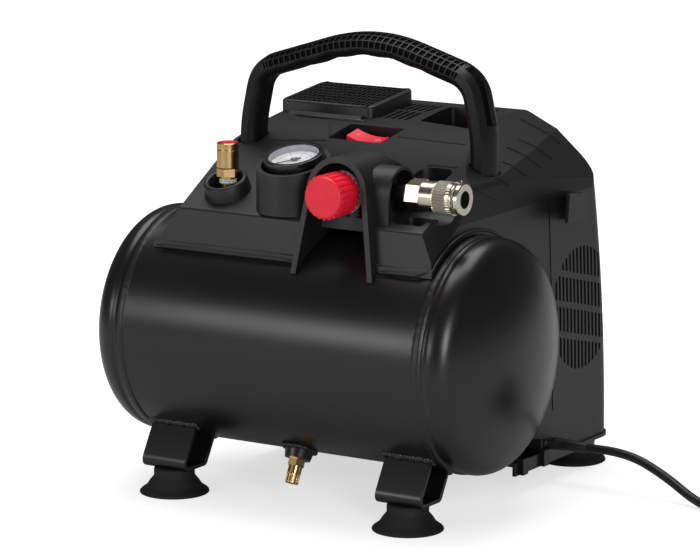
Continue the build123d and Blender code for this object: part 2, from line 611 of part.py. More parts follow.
def round_grille(sign):
    """Cutter for a round grille in a side wall: upright slots in four bands between sloping bars."""
    pitch, slot = 5.2, 2.7
    bars = [Pos(0, GRILLE_Y, GRILLE_Z + 22 * k) * Rot(-14, 0, 0) * Box(BIG, 200, 4.5) for k in (-1, 0, 1)]
    disc = rod("x", (-BIG / 2, GRILLE_Y, GRILLE_Z), GRILLE_R, BIG)
    n = int(GRILLE_R / pitch)
    cols = []
    for i in range(-n, n + 1):
        y = GRILLE_Y + i * pitch
        x = sign * HALF_W + HOUSING_X
        cols.append(Pos(x, y, GRILLE_Z) * Box(60, slot, 2 * GRILLE_R + 4))
    cutter = Part() + cols
    return (cutter & disc) - bars


def rear_cover(shell):
    """Shroud over the motor and pump with the roof's vents, the round grilles and the accessory tray."""
    body, slots = raised_grille()
    floor = ROOF_Z - TRAY_DEPTH
    liner = extrude(Pos(0, 0, floor - WALL) * tray_face(WALL), TRAY_DEPTH + WALL + 5) & hull()
    cover = shell & rear_zone()
    cover += (body + front_brow() - hull(WALL)) & rear_zone()
    cover -= raised_block(WALL)
    cover += liner
    cover -= extrude(Pos(0, 0, floor) * tray_face(0), TRAY_DEPTH + 20)
    cover -= slots + roof_vent() + [round_grille(-1), round_grille(1)]
    cover -= rod("x", (HOUSING_X, CORD_Y, CORD_Z), CORD_D / 2 + 2 * SEAT_GAP, BIG / 2)
    cover -= [rod("y", (x, REAR_Y - 12, BASE_Z + TAB_H - 10), SCREW_R + SEAT_GAP, 24) for x in TAB_X]
    cover -= [rod("z", (x, REAR_FOOT_Y, 0), NECK_R + 1, FOOT_H + 1) for x in (-FOOT_X, FOOT_X)]
    return cover


def covers():
    inner = hull(WALL)
    ring = tank_cut(TANK_GAP + LIP) - tank_cut(TANK_GAP)
    lip = (hull(-LIP_OUT) - inner) & ring & block(-BIG, BIG, -BIG, PART_Y, TANK_Z - 30, BIG)
    flange = (hull(-1.5) - inner) & block(-BIG, BIG, PART_Y, BIG, SKIRT_Z - 5, SKIRT_Z + 2.5)
    shell = hull() - inner + lip + flange - tank_cut(TANK_GAP) - below_cover()
    return {"front_cover": front_cover(shell), "rear_cover": rear_cover(shell)}


# ---------------------------------------------------------------- handle
HANDLE_BEND = (120.0, 22.0, 175.0)      # lean-in, elbow and arched grip
LATTICE_PITCH = 6.4
CHANNEL_H = 71.0          # lower end of the legs' outer channel above the top of the tank


def handle_path():
    """Centre line: two upright legs that lean in, elbows and an arched grip."""
    lean, elbow, crown = HANDLE_BEND
    slope = radians(21.4)
    apex = TANK_TOP + HANDLE_H - LEG_X / 2 + crown * (1 / cos(slope) - 1)
    elbow_x = LEG_REACH - 8.5
    elbow_z = apex - elbow_x * tan(slope)
    left = [(-LEG_REACH, LEG_FOOT_Z), (-LEG_REACH, elbow_z - 39), (-elbow_x, elbow_z)]
    right = [(-x, z) for x, z in reversed(left)]
    path = FilletPolyline(*left, (0, apex), *right, radius=[lean, elbow, crown, elbow, lean])
    return Plane.XZ * Pos(HANDLE_X, 0) * path


def handle():
    """One moulding: an oval bar with a channel down the outside of each leg and pockets along the grip."""
    path = Pos(0, HANDLE_Y, 0) * handle_path()
    start = Plane(origin=path @ 0, x_dir=(1, 0, 0), z_dir=path % 0)
    bar = sweep(start * RectangleRounded(LEG_X, LEG_Y, LEG_R), path=path)
    channel = sweep(start * Pos(-LEG_X / 2, 0) * Rectangle(7, LEG_Y - 11), path=path)
    above = block(-BIG, BIG, -BIG, BIG, TANK_TOP + CHANNEL_H, BIG)
    bar -= channel & above - block(-66, 68, -BIG, BIG, 0, BIG)
    crown_z = TANK_TOP + HANDLE_H
    radius = HANDLE_BEND[2] + LEG_X / 2
    step = degrees(LATTICE_PITCH / radius)
    turns = [Pos(HANDLE_X, HANDLE_Y, crown_z - radius) * Rot(0, step * i, 0) for i in range(-9, 10)]
    bar -= [turn * Pos(0, y, radius) * Box(4.6, 6.4, 5.5) for turn in turns for y in (-4.4, 4.4)]
    for x in (-LEG_REACH, LEG_REACH):
        bar -= rod("z", (HANDLE_X + x, HANDLE_Y, LEG_FOOT_Z - 1), SCREW_R + SEAT_GAP, 26)
    return bar


def handle_screw():
    head = hexagon(10, 4)
    return head + Pos(0, 0, 4) * Cylinder(SCREW_R, STRAP_T + 20, align=BOTTOM)


def handle_parts():
    place = [Pos(HANDLE_X + x, HANDLE_Y, LEG_FOOT_Z - STRAP_T - 4) for x in (-LEG_REACH, LEG_REACH)]
    return {"handle": handle(), "handle_screws": [p * handle_screw() for p in place]}


# ---------------------------------------------------------------- power switch
ROCKER_L, ROCKER_W, ROCKER_H = 26.6, 15.0, 9.5
PIVOT_DOWN, PIVOT_R = 11.5, 1.5         # rocker's pivot below the deck
SWITCH_DEPTH = 24.0


def power_switch():
    """Switch body that drops into the recess, and a rocker on a cross pin; its left end is up."""
    place = on_deck(SWITCH_X, SWITCH_Y)
    floor, rim = -RECESS_DEPTH, 1.6
    body = Box(SWITCH_L - 2 * SEAT_GAP, SWITCH_W - 2 * SEAT_GAP, SWITCH_DEPTH + floor, align=BOTTOM)
    body = Pos(0, 0, -SWITCH_DEPTH) * fillet(body.edges().filter_by(Axis.Z), 2)
    bezel = Box(SWITCH_L + 4.4, SWITCH_W + 4, rim, align=BOTTOM)
    body += Pos(0, 0, floor) * fillet(bezel.edges().group_by()[-1], 0.5)
    body -= Pos(0, 0, 3 - SWITCH_DEPTH) * Box(ROCKER_L + 2, ROCKER_W + 0.6, 30, align=BOTTOM)
    body -= Pos(0, 0, -PIVOT_DOWN) * Rot(90, 0, 0) * Cylinder(PIVOT_R + RUN_FIT, ROCKER_W + 2.6)
    half = ROCKER_L / 2
    top, waist = ROCKER_H - PIVOT_DOWN, 2.6 - PIVOT_DOWN
    side = make_face([
        ThreePointArc((-half, top), (0, top - 2.2), (half, top)),
        Line((half, top), (half, waist)),
        Line((half, waist), (half - 6, -PIVOT_DOWN - 5)),
        Line((half - 6, -PIVOT_DOWN - 5), (6 - half, -PIVOT_DOWN - 5)),
        Line((6 - half, -PIVOT_DOWN - 5), (-half, waist)),
        Line((-half, waist), (-half, top)),
    ])
    rocker = extrude(Plane.XZ * side, ROCKER_W / 2, both=True)
    rocker += Pos(0, 0, -PIVOT_DOWN) * Rot(90, 0, 0) * Cylinder(PIVOT_R, ROCKER_W + 2.2)
    tilt = Pos(0, 0, -PIVOT_DOWN) * Rot(0, ROCKER_TILT, 0) * Pos(0, 0, PIVOT_DOWN)
    return {"switch_body": place * body, "switch_rocker": place * tilt * rocker}


# ---------------------------------------------------------------- pressure gauge
CASE_R, CASE_DEPTH, DIAL_DOWN = 19.6, 14.0, 6.2
LENS_T, LENS_DOWN = 1.2, 1.0
SPINDLE_R = 0.8
POINTER_REST = 135.0      # needle at zero, turned from straight up


def gauge():
    place = Pos(GAUGE_X, CONTROL_Y, GAUGE_Z) * Rot(GAUGE_TILT, 0, 0)
    rim = -LENS_DOWN - LENS_T
    case = Pos(0, 0, -CASE_DEPTH) * Cylinder(CASE_R, CASE_DEPTH + rim, align=BOTTOM)
    case = chamfer(case.edges().group_by(Axis.Z)[0], 4)
    case -= Pos(0, 0, -DIAL_DOWN) * Cylinder(CASE_R - 1.8, 10, align=BOTTOM)
    case += Pos(0, 0, -CASE_DEPTH - 8) * hexagon(14, 8.5)
    stem_y = CONTROL_Y + 2.5
    case = place * case + rod("z", (GAUGE_X, stem_y, MANIFOLD_Z[1]), 4, GAUGE_Z - MANIFOLD_Z[1] - 18)
    bezel = Pos(0, 0, -6) * Cylinder(GAUGE_R, 6, align=BOTTOM)
    bezel = fillet(bezel.edges().group_by(Axis.Z)[-1], 0.8)
    bezel -= Pos(0, 0, -6) * Cylinder(CASE_R + SEAT_GAP, 6 - LENS_DOWN, align=BOTTOM)
    bezel -= Cylinder(CASE_R - 1.3, 6)
    dial = Pos(0, 0, -DIAL_DOWN) * Cylinder(CASE_R - 1.8 - SEAT_GAP, 0.8, align=BOTTOM)
    dial += Pos(0, 0, -DIAL_DOWN) * Cylinder(SPINDLE_R, 3.2, align=BOTTOM)
    level = -DIAL_DOWN + 1.1
    pointer = Pos(0, 0, level) * Cylinder(2.2, 1.4, align=BOTTOM)
    needle = make_face(Polyline((-0.9, -4.5), (0.9, -4.5), (0.25, 13.8), (-0.25, 13.8), close=True).edges())
    pointer += Pos(0, 0, level + 0.4) * Rot(0, 0, POINTER_REST) * extrude(needle, 0.5)
    pointer -= Cylinder(SPINDLE_R + RUN_FIT, 2 * DIAL_DOWN)
    lens = Pos(0, 0, rim) * Cylinder(CASE_R, LENS_T, align=BOTTOM)
    parts = {"gauge_bezel": bezel, "gauge_dial": dial, "gauge_pointer": pointer, "gauge_lens": lens}
    return {"gauge_case": case} | {name: place * solid for name, solid in parts.items()}


# ---------------------------------------------------------------- safety valve
VALVE_HEX_Z = TANK_TOP + 25.5
VALVE_TOP = TANK_TOP + 53.2
PULL_R, PULL_BORE = 2.45, 6.1


def safety_valve():
    """Brass relief valve with a round pull that lifts to let air out."""
    def at(z):
        return SAFETY_X, CONTROL_Y, z
    body = rod("z", at(MANIFOLD_Z[1]), 4.8, VALVE_HEX_Z - MANIFOLD_Z[1] + 2)
    body += Pos(*at(VALVE_HEX_Z)) * hexagon(13.6, 9)
    barrel = rod("z", at(VALVE_HEX_Z + 9), SAFETY_R, VALVE_TOP - VALVE_HEX_Z - 9)
    body += chamfer(barrel.edges().group_by(Axis.Z)[-1], 0.6)
    body -= rod("z", at(VALVE_HEX_Z + 4), PULL_R + RUN_FIT, 40)
    body -= rod("z", at(VALVE_HEX_Z + 16), PULL_BORE, 40)
    pull = rod("z", at(VALVE_HEX_Z + 5), PULL_R, VALVE_TOP - VALVE_HEX_Z - 5)
    pull += rod("z", at(VALVE_TOP - 3), PULL_BORE - SEAT_GAP, 3.5)
    return {"safety_valve_body": body, "safety_valve_pull": pull}


# ---------------------------------------------------------------- regulator and its knob
REG_R, REG_NECK_R, REG_NUT_R = 13.0, 10.0, 14.8
REG_FRONT = CONTROL_Y - 16.5
STEM_R = 4.0


def regulator():
    """Regulator in the arch's tunnel: body, ring nut, turning stem, and a knob that pulls out to unlock."""
    def along(y, r, length):
        return rod("y", (KNOB_X, y, CONTROL_Z), r, length)
    back = TUNNEL_BACK - 2
    body = along(REG_FRONT, REG_R, back - REG_FRONT) + along(REG_FRONT - 4.5, REG_NECK_R, 5)
    body += rod("x", (KNOB_X, CONTROL_Y, CONTROL_Z), NIPPLE_R + 2, REG_R + 3)
    body += rod("z", (KNOB_X, CONTROL_Y, MANIFOLD_Z[1]), 7, CONTROL_Z - MANIFOLD_Z[1])
    body -= along(REG_FRONT - 5, STEM_R + RUN_FIT, 21)
    nut = along(REG_FRONT - 4, REG_NUT_R, 4) - along(REG_FRONT - 5, REG_NECK_R + SEAT_GAP, 6)
    knob_back = REG_FRONT - 4.5 - SEAT_GAP
    knob_front = knob_back - KNOB_L
    stem = along(knob_front + 8, STEM_R, REG_FRONT + 15 - knob_front - 8)
    knob = along(knob_front, KNOB_R - 0.9, KNOB_L)
    knob = fillet(knob.edges().group_by(Axis.Y)[0], 2)
    grooves = [loc * Circle(1.25) for loc in PolarLocations(KNOB_R + 0.35, KNOB_FLUTES)]
    flutes = Plane.XZ * (Circle(KNOB_R) - grooves)
    knob += Pos(KNOB_X, knob_back, CONTROL_Z) * extrude(flutes, KNOB_L - 2.5)
    knob -= along(knob_front + 7, STEM_R + RUN_FIT, KNOB_L)
    return {"regulator_body": body, "regulator_nut": nut, "regulator_stem": stem, "regulator_knob": knob}


# ---------------------------------------------------------------- quick coupler
HEX_L, HEX_W, BARREL_R, SLEEVE_R = 10.5, 19.6, 10.4, 11.2
SLEEVE_X, SLEEVE_L = 20.5, 13.5         # sleeve's start and length along the coupler
COUPLER_SOCKET = 25.0                   # depth of the socket
HEX_TURN = -15.0


def coupler():
    """Air outlet: hexagon, barrel, knurled sleeve that slides back, and an end ring round the socket."""
    def along(x, r, length):
        return rod("x", (COUPLER_X + x, CONTROL_Y, CONTROL_Z), r, length)
    start = KNOB_X + REG_R + 3 - COUPLER_X
    body = along(start, NIPPLE_R, HEX_L - start)
    body += Pos(COUPLER_X, CONTROL_Y, CONTROL_Z) * Rot(0, 90, 0) * Rot(0, 0, HEX_TURN) * hexagon(HEX_W, HEX_L)
    body += along(HEX_L, BARREL_R, SLEEVE_X + SLEEVE_L - HEX_L + 1.5)
    body += along(HEX_L, BARREL_R - 2, COUPLER_L - HEX_L)
    ring = along(COUPLER_L - 3, SLEEVE_R - 0.2, 3)
    body += chamfer(ring.edges().group_by(Axis.X)[-1], 0.6)
    body -= along(COUPLER_L - COUPLER_SOCKET, COUPLER_BORE, COUPLER_SOCKET + 1)
    notches = [loc * Rot(0, 0, 45) * Rectangle(0.8, 0.8) for loc in PolarLocations(SLEEVE_R + 0.1, 36)]
    knurl = Circle(SLEEVE_R) - notches
    sleeve = Pos(COUPLER_X + SLEEVE_X, CONTROL_Y, CONTROL_Z) * Rot(0, 90, 0) * extrude(knurl, SLEEVE_L)
    sleeve -= along(SLEEVE_X - 1, BARREL_R + RUN_FIT, SLEEVE_L + 2)
    return {"coupler_body": body, "coupler_sleeve": sleeve}


# ---------------------------------------------------------------- air path under the deck
SPIGOT_R = BUNG_BORE - 0.2
TUBE_R, TUBE_RISE = 3.0, 24.0


def air_path():
    """Manifold under the controls, check valve, the pipe from the pump and the pressure switch."""
    x, y = OUTLET_AT
    seat = bung_top(y)
    manifold = block(*MANIFOLD_X, *MANIFOLD_Y, *MANIFOLD_Z)
    manifold = fillet(manifold.edges().filter_by(Axis.Z), 3)
    manifold += rod("z", (x, y, seat), BUNG_R - 1, MANIFOLD_Z[0] - seat + 1)
    manifold += rod("z", (x, y, seat - 8), SPIGOT_R, 9)

    x, y = CHECK_AT
    seat = bung_top(y)
    valve = rod("z", (x, y, seat - 8), SPIGOT_R, 9) + Pos(x, y, seat) * hexagon(16, 8)
    valve += rod("z", (x, y, seat + 8), 6.5, 3)

    end, level, head_y = seat + 11, TANK_TOP + TUBE_RISE, MOTOR_Y - HEAD_HALF - 3
    path = FilletPolyline((x, head_y, level), (x, y, level), (x, y, end), radius=9)
    start = Plane(origin=path @ 0, z_dir=path % 0)
    pipe = sweep(start * (Circle(TUBE_R) - Circle(TUBE_R - 0.8)), path=path)

    box = rounded_block(-18, 28, 14, 44, TANK_TOP + 2.5, TANK_TOP + 27.5, 3)
    box += rod("y", (-2, MANIFOLD_Y[1], sum(MANIFOLD_Z) / 2), 4, 14 - MANIFOLD_Y[1] + 1)
    return {"manifold": manifold, "check_valve": valve, "delivery_pipe": pipe, "pressure_switch": box}


# ---------------------------------------------------------------- motor and pump
CRADLE_Z, CRADLE_T = BASE_Z + STRAP_T + 12, 3.0
MOTOR_X = (-12.0, 78.0)
CASE_X, CASE_HALF, CASE_H = (-72.0, -12.0), 34.0, 32.0     # crankcase
PUMP_X = -45.0
HEAD_HALF = 33.0
CYL_H, CYL_WALL = TANK_R - 43, 4.0      # brings the head level with the controls
PLATE_T, HEAD_H = 3.0, 34.0
ROD_CLEAR = 0.5


def at_shaft(x, r, length):
    return rod("x", (x, MOTOR_Y, MOTOR_Z), r, length)


def mounts():
    """Steel cradle on four rubber mounts, with a bolt through each."""
    cradle = rounded_block(-74, 74, MOTOR_Y - 38, MOTOR_Y + 38, CRADLE_Z, CRADLE_Z + CRADLE_T, 6)
    for x in (4, 62):
        cradle += block(x - 1.5, x + 1.5, MOTOR_Y - 34, MOTOR_Y + 34, CRADLE_Z, MOTOR_Z - 14)
    for x in (CASE_X[0] + 8, CASE_X[1] - 8):
        cradle += block(x - 3, x + 3, MOTOR_Y - 28, MOTOR_Y + 28, CRADLE_Z, MOTOR_Z - CASE_HALF - 4)
    cradle -= at_shaft(-10, MOTOR_R + SEAT_GAP, 90)
    bore = SCREW_R + SEAT_GAP
    cradle -= [rod("z", (x, y, CRADLE_Z - 1), bore, CRADLE_T + 2) for x, y in mount_places()]
    low, high = BASE_Z + STRAP_T, CRADLE_Z
    shape = [(bore, low), (9, low), (7, (low + high) / 2), (9, high), (bore, high)]
    pad = revolve(Plane.XZ * make_face(Polyline(*shape, close=True).edges()), Axis.Z)
    bolt = Pos(0, 0, BASE_Z - 4) * hexagon(10, 4)
    bolt += Pos(0, 0, BASE_Z - 1) * Cylinder(SCREW_R, CRADLE_Z + CRADLE_T - BASE_Z + 8, align=BOTTOM)
    nut = Pos(0, 0, CRADLE_Z + CRADLE_T) * (hexagon(10, 5) - Cylinder(SCREW_R + RUN_FIT, 20))
    places = [Pos(x, y, 0) for x, y in mount_places()]
    return {"motor_cradle": cradle, "rubber_mounts": [p * pad for p in places],
            "mount_bolts": [p * solid for p in places for solid in (bolt, nut)]}


def motor():
    """Universal motor: case with end bells, stator, rotor with its commutator, brushes, bearings and fan."""
    x0, x1 = MOTOR_X
    inner = MOTOR_R - MOTOR_WALL
    case = at_shaft(x0, MOTOR_R, x1 - x0) - at_shaft(x0 + 4, inner, x1 - x0 - 8)
    case -= at_shaft(x0 - 1, SHAFT_R + 1, x1 - x0 + 2)
    case += at_shaft(x0 + 3, 12, 5) + at_shaft(x1 - 8, 12, 5)
    case -= (at_shaft(x0 + 4, 9 + RUN_FIT, 5) + at_shaft(x1 - 9, 9 + RUN_FIT, 5)
             + at_shaft(x0 - 1, SHAFT_R + 1, 99))
    windows = [Pos(0, MOTOR_Y, MOTOR_Z) * Rot(60 * i, 0, 0) * Pos(x1 - 8, 0, 29) * Box(20, 15, 14)
               for i in range(6)]
    case -= windows
    brush_x = x1 - 18
    reach = (19, MOTOR_R + 4)
    for side in (-1, 1):
        case -= (Pos(brush_x, MOTOR_Y, MOTOR_Z) * Rot(90 * side, 0, 0)
                 * Cylinder(5 + SEAT_GAP, 80, align=BOTTOM))
    brush = Pos(0, 0, reach[0]) * Cylinder(5, reach[1] - reach[0], align=BOTTOM)
    brush += Pos(0, 0, 13.5) * Box(5, 4, reach[0] - 13, align=BOTTOM)
    brushes = [Pos(brush_x, MOTOR_Y, MOTOR_Z) * Rot(90 * side, 0, 0) * brush for side in (-1, 1)]
    stator = at_shaft(8, inner - SEAT_GAP, 40) + at_shaft(4, inner - 5, 48) - at_shaft(0, 27, 70)
    hole = SHAFT_R + RUN_FIT
    rotor = at_shaft(8, 26.5, 40) + at_shaft(3, 20, 50) + at_shaft(52, 13, 15) - at_shaft(0, hole, 70)
    rings = [at_shaft(x, 9, 5) - at_shaft(x, hole, 5) for x in (x0 + 4, x1 - 9)]
    return {"motor_case": case, "motor_stator": stator, "motor_rotor": rotor, "motor_brushes": brushes,
            "motor_bearings": rings, "cooling_fan": fan(x1 + 8)}


def fan(x):
    hub = at_shaft(x, 10, 14) + at_shaft(x, 26, 1.6)
    middle = Pos(x + 7, MOTOR_Y, MOTOR_Z)
    blade = Pos(0, 0, (FAN_R + 8) / 2) * Rot(0, 0, 32) * Box(13, 1.8, FAN_R - 8)
    wheel = hub
    for i in range(9):
        wheel += middle * Rot(40 * i, 0, 0) * blade
    return wheel - at_shaft(x - 5, SHAFT_R + RUN_FIT, 30)


def pump():
    """Oil-free pump: crankshaft, a piston in one piece with its rod, crankcase, finned cylinder and head."""
    x0, x1 = CASE_X
    top = MOTOR_Z + CASE_H
    shaft = at_shaft(PUMP_X + 7, SHAFT_R, MOTOR_X[1] + 24 - PUMP_X - 7)
    web = at_shaft(PUMP_X + 7, 20, 7) - Pos(PUMP_X, MOTOR_Y, MOTOR_Z + 21) * Box(60, 60, 20)
    pin = rod("x", (PUMP_X - 7, MOTOR_Y, MOTOR_Z + THROW), SHAFT_R, 14.5)
    crankshaft = shaft + web + pin

    pin_z, crown = MOTOR_Z + THROW, top + CYL_H - 1
    hole = rod("x", (PUMP_X - 20, MOTOR_Y, pin_z), SHAFT_R + RUN_FIT, 40)
    con = rod("x", (PUMP_X - 6, MOTOR_Y, pin_z), 10, 12)
    con += block(PUMP_X - 4, PUMP_X + 4, MOTOR_Y - 5, MOTOR_Y + 5, pin_z, crown - 4)
    piston_r = BORE_R - THROW - ROD_CLEAR
    con += rod("z", (PUMP_X, MOTOR_Y, crown - 9), piston_r, 9)
    con -= hole

    case = rounded_block(x0, x1, MOTOR_Y - CASE_HALF, MOTOR_Y + CASE_HALF, MOTOR_Z - CASE_HALF - 4, top,
                         5, Axis.X)
    case -= at_shaft(x0 + 4, 28, x1 - x0 - 10)
    case -= rod("z", (PUMP_X, MOTOR_Y, MOTOR_Z), BORE_R, 60)
    case -= at_shaft(x0 + 10, SHAFT_R + 1, 60)

    cyl = rod("z", (PUMP_X, MOTOR_Y, top), BORE_R + CYL_WALL, CYL_H)
    cyl += [rod("z", (PUMP_X, MOTOR_Y, top + 10 + 6 * i), BORE_R + 9, 2) for i in range(4)]
    flange = rounded_block(PUMP_X - HEAD_HALF, PUMP_X + HEAD_HALF, MOTOR_Y - HEAD_HALF,
                           MOTOR_Y + HEAD_HALF, 0, 5, 6)
    cyl += [Pos(0, 0, z) * flange for z in (top, top + CYL_H - 5)]
    cyl -= rod("z", (PUMP_X, MOTOR_Y, top - 1), BORE_R, CYL_H + 2)

    plate_z = top + CYL_H
    face = Pos(PUMP_X, MOTOR_Y, plate_z) * RectangleRounded(2 * HEAD_HALF, 2 * HEAD_HALF, 6)
    plate = extrude(face, PLATE_T)
    head_z = plate_z + PLATE_T
    head = extrude(Pos(0, 0, PLATE_T) * face, HEAD_H)
    head -= [Pos(PUMP_X - 28 + 8 * i, MOTOR_Y, head_z + HEAD_H) * Box(3.4, 90, 28)
             for i in range(8) if i not in (3, 4)]
    head += rod("y", (CHECK_AT[0], MOTOR_Y - HEAD_HALF - 3, TANK_TOP + TUBE_RISE), 5, 8)

    corner = HEAD_HALF - 6
    places = [(PUMP_X + sx * corner, MOTOR_Y + sy * corner) for sx in (-1, 1) for sy in (-1, 1)]
    drill = [rod("z", (x, y, top - 8), 2.8, 200) for x, y in places]
    studs = [rod("z", (x, y, top - 7), 2.5, head_z + HEAD_H + 8 - top) + Pos(x, y, head_z + HEAD_H) * hexagon(8, 4)
             for x, y in places]
    filter_at = (PUMP_X - HEAD_HALF - 16, MOTOR_Y, head_z + 12)
    filter_body = rod("x", filter_at, 12, 12) + rod("x", filter_at, 5, 16)
    return {"crankshaft": crankshaft, "piston_rod": con, "crankcase": case - drill, "cylinder": cyl - drill,
            "valve_plate": plate - drill, "cylinder_head": head - drill, "head_bolts": studs,
            "intake_filter": filter_body}


# ---------------------------------------------------------------- drain, cord hook and the cover's screws
DRAIN_SCREW_R = 2.5
HOOK_OUT, HOOK_L, HOOK_H, HOOK_T = 20.0, 26.0, 20.5, 2.6
HOOK_Y, HOOK_Z = TANK_R + 52, TANK_TOP + 1.5


def drain():
    """Drain cock: hexagon body in the tank's bush, and a thumbscrew in it."""
    out = DRAIN_BUSH_L
    body = drain_place(out - 6) * Cylinder(DRAIN_BORE - SEAT_GAP, 7, align=BOTTOM)
    body += drain_place(out) * hexagon(11, 5)
    body += drain_place(out + 4) * Cylinder(4.8, 6, align=BOTTOM)
    body -= drain_place(out + 2) * Cylinder(DRAIN_SCREW_R + RUN_FIT, 20, align=BOTTOM)
    screw = drain_place(out + 3) * Cylinder(DRAIN_SCREW_R, 10, align=BOTTOM)
    grip = Circle(4.7) - [loc * Circle(0.5) for loc in PolarLocations(4.9, 16)]
    screw += drain_place(out + 10 + SEAT_GAP) * extrude(grip, 7)
    return {"drain_valve": body, "drain_screw": screw}


def cord_hook():
    """Hook on the right wall: an arm with a plate turned forward at its end."""
    root = HOUSING_X + HALF_W - 12
    tip = HOUSING_X + HALF_W - LEAN_RIGHT + HOOK_OUT
    arm = block(root, tip, -HOOK_T / 2, HOOK_T / 2, -HOOK_H / 2, HOOK_H / 2)
    plate = block(tip - HOOK_T, tip, -HOOK_L, HOOK_T / 2, -HOOK_H / 2, HOOK_H / 2)
    hook = Pos(0, HOOK_Y, HOOK_Z) * Rot(-7, 0, 0) * (arm + plate)
    return hook - hull(-SEAT_GAP)


def cover_screws():
    wall = REAR_Y + 0.2
    screws = []
    for x in TAB_X:
        at = (x, wall - 9, BASE_Z + TAB_H - 10)
        head = rod("y", (x, wall, BASE_Z + TAB_H - 10), 5.5, 2.6)
        screws.append(rod("y", at, SCREW_R, 10) + fillet(head.edges().group_by(Axis.Y)[-1], 1.2))
    return screws


# ---------------------------------------------------------------- power cord
CORD_POINTS = [(94, 115, 27.8), (134, 115, 27.8), (176, 114.4, 26.6), (206, 112, 13), (235, 103, 3.5),
               (263, 88.8, 3.3)]
COIL_H = 16.0
PLUG = (50.0, 46.0, 22.0)


def route_radii(points):
    """For each corner, 0.45 of its shorter run over the tangent of half its turn."""
    radii = []
    for a, b, c in zip(points, points[1:], points[2:]):
        before, after = Vector(*b) - Vector(*a), Vector(*c) - Vector(*b)
        half_turn = radians(before.get_angle(after)) / 2
        radii.append(0.45 * min(before.length, after.length) / tan(half_turn))
    return radii


def power_cord():
    """Cord from the strain relief down to the floor, its coil and the plug on top of the coil."""
    radii = route_radii(CORD_POINTS)
    print("cord radii", [round(r, 1) for r in radii])
    path = FilletPolyline(*CORD_POINTS, radius=radii)
    cord = sweep(Plane(origin=path @ 0, z_dir=path % 0) * Circle(CORD_D / 2), path=path)
    print("cord volume over section times length", cord.volume / (pi * CORD_D ** 2 / 4 * path.length))
    section = Pos(COIL_MID_R, COIL_H / 2) * RectangleRounded(22, COIL_H - 0.2, 7.5)
    coil = Pos(COIL_X, CORD_Y, 0) * revolve(Plane.XZ * section, Axis.Z)
    relief = rounded_block(98, 111, CORD_Y - 7, CORD_Y + 7, BASE_Z + STRAP_T, CORD_Z + 6, 2)
    relief -= rod("x", (90, CORD_Y, CORD_Z), CORD_D / 2 + SEAT_GAP, 30)
    return {"strain_relief": relief, "power_cord": cord, "power_cord_coil": coil, "plug": plug()}


def plug():
    """Three-pin plug with its cable sleeve, lying on the coil."""
    w, d, h = PLUG
    body = fillet(extrude(RectangleRounded(w, d, 9), h).edges().group_by(Axis.Z)[-1], 3)
    body += Pos(-w / 2 - 14, 0, 9) * Rot(0, 90, 0) * Cylinder(5, 18, align=BOTTOM)
    pins = [Pos(14, 0, h) * Box(4, 8, 22.7, align=BOTTOM)]
    pins += [Pos(-8, y, h) * Box(6.4, 4, 17.7, align=BOTTOM) for y in (-11, 11)]
    return Pos(COIL_X, CORD_Y, COIL_H) * (body + pins)


# ---------------------------------------------------------------- write the parts
def write_parts():
    os.makedirs("parts", exist_ok=True)
    parts = tank() | feet() | covers() | handle_parts() | power_switch() | gauge() | safety_valve()
    parts |= regulator() | coupler() | air_path() | mounts() | motor() | pump() | drain() | power_cord()
    parts |= {"motor_base": motor_base(), "cord_hook": cord_hook(), "cover_screws": cover_screws()}
    for name, shape in parts.items():
        pieces = shape if isinstance(shape, list) else [shape]
        solids = [solid for piece in pieces for solid in piece.solids()]
        placed = Pos(0, -ORIGIN_Y, 0) * Compound(children=solids)
        export_step(placed, f"parts/{name}.step")


if __name__ == "__main__":
    write_parts()
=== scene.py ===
"""Looks of a small 6 litre air compressor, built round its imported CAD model.

The file is laid out as an add-on: sizes and colours are properties, each piece or group of like pieces
has an operator, and main() runs them in order. Lengths are in metres in the CAD model's own frame: +Z up,
+X along the tank towards the air outlet, -Y towards the controls, the floor at z = 0.
"""
import json
import math
from random import Random

import bmesh
import bpy
from mathutils import Matrix, Vector


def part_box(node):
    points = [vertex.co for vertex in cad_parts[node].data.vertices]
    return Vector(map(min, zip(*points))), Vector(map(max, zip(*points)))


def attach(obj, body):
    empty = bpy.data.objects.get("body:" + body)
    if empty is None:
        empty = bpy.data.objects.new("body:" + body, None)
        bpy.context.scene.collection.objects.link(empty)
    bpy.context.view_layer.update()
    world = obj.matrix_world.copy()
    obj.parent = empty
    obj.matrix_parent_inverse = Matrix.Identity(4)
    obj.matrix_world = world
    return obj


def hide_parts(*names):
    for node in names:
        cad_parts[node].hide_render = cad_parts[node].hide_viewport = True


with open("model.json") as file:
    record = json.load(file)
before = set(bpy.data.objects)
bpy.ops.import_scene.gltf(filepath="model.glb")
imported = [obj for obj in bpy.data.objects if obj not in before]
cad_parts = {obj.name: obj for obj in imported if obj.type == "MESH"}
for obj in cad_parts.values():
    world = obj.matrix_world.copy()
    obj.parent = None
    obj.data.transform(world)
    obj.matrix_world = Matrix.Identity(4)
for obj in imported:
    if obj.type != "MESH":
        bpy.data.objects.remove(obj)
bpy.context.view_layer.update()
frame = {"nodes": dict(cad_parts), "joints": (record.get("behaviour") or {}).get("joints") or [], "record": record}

bl_info = {
    "name": "Small Air Compressor",
    "version": (1, 0, 0),
    "blender": (4, 5, 0),
    "location": "View3D > Sidebar > Compressor",
    "description": "Paint, moulded plastic, brass, print, welds and supply cord of a small air compressor",
    "category": "Object",
}

NODES = frame["nodes"]
SLOT_OF = {part["node"]: part["material_slot"] for part in frame["record"]["subparts"]}
JOINT = {joint["name"]: joint for joint in frame["joints"]}
RIGHT, BACK, UP = Vector((1, 0, 0)), Vector((0, 1, 0)), Vector((0, 0, 1))
SEAM_WELD = 0.0008      # how far the weld stands out of the tank at each end


def middle(node):
    low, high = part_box(node)
    return (low + high) / 2


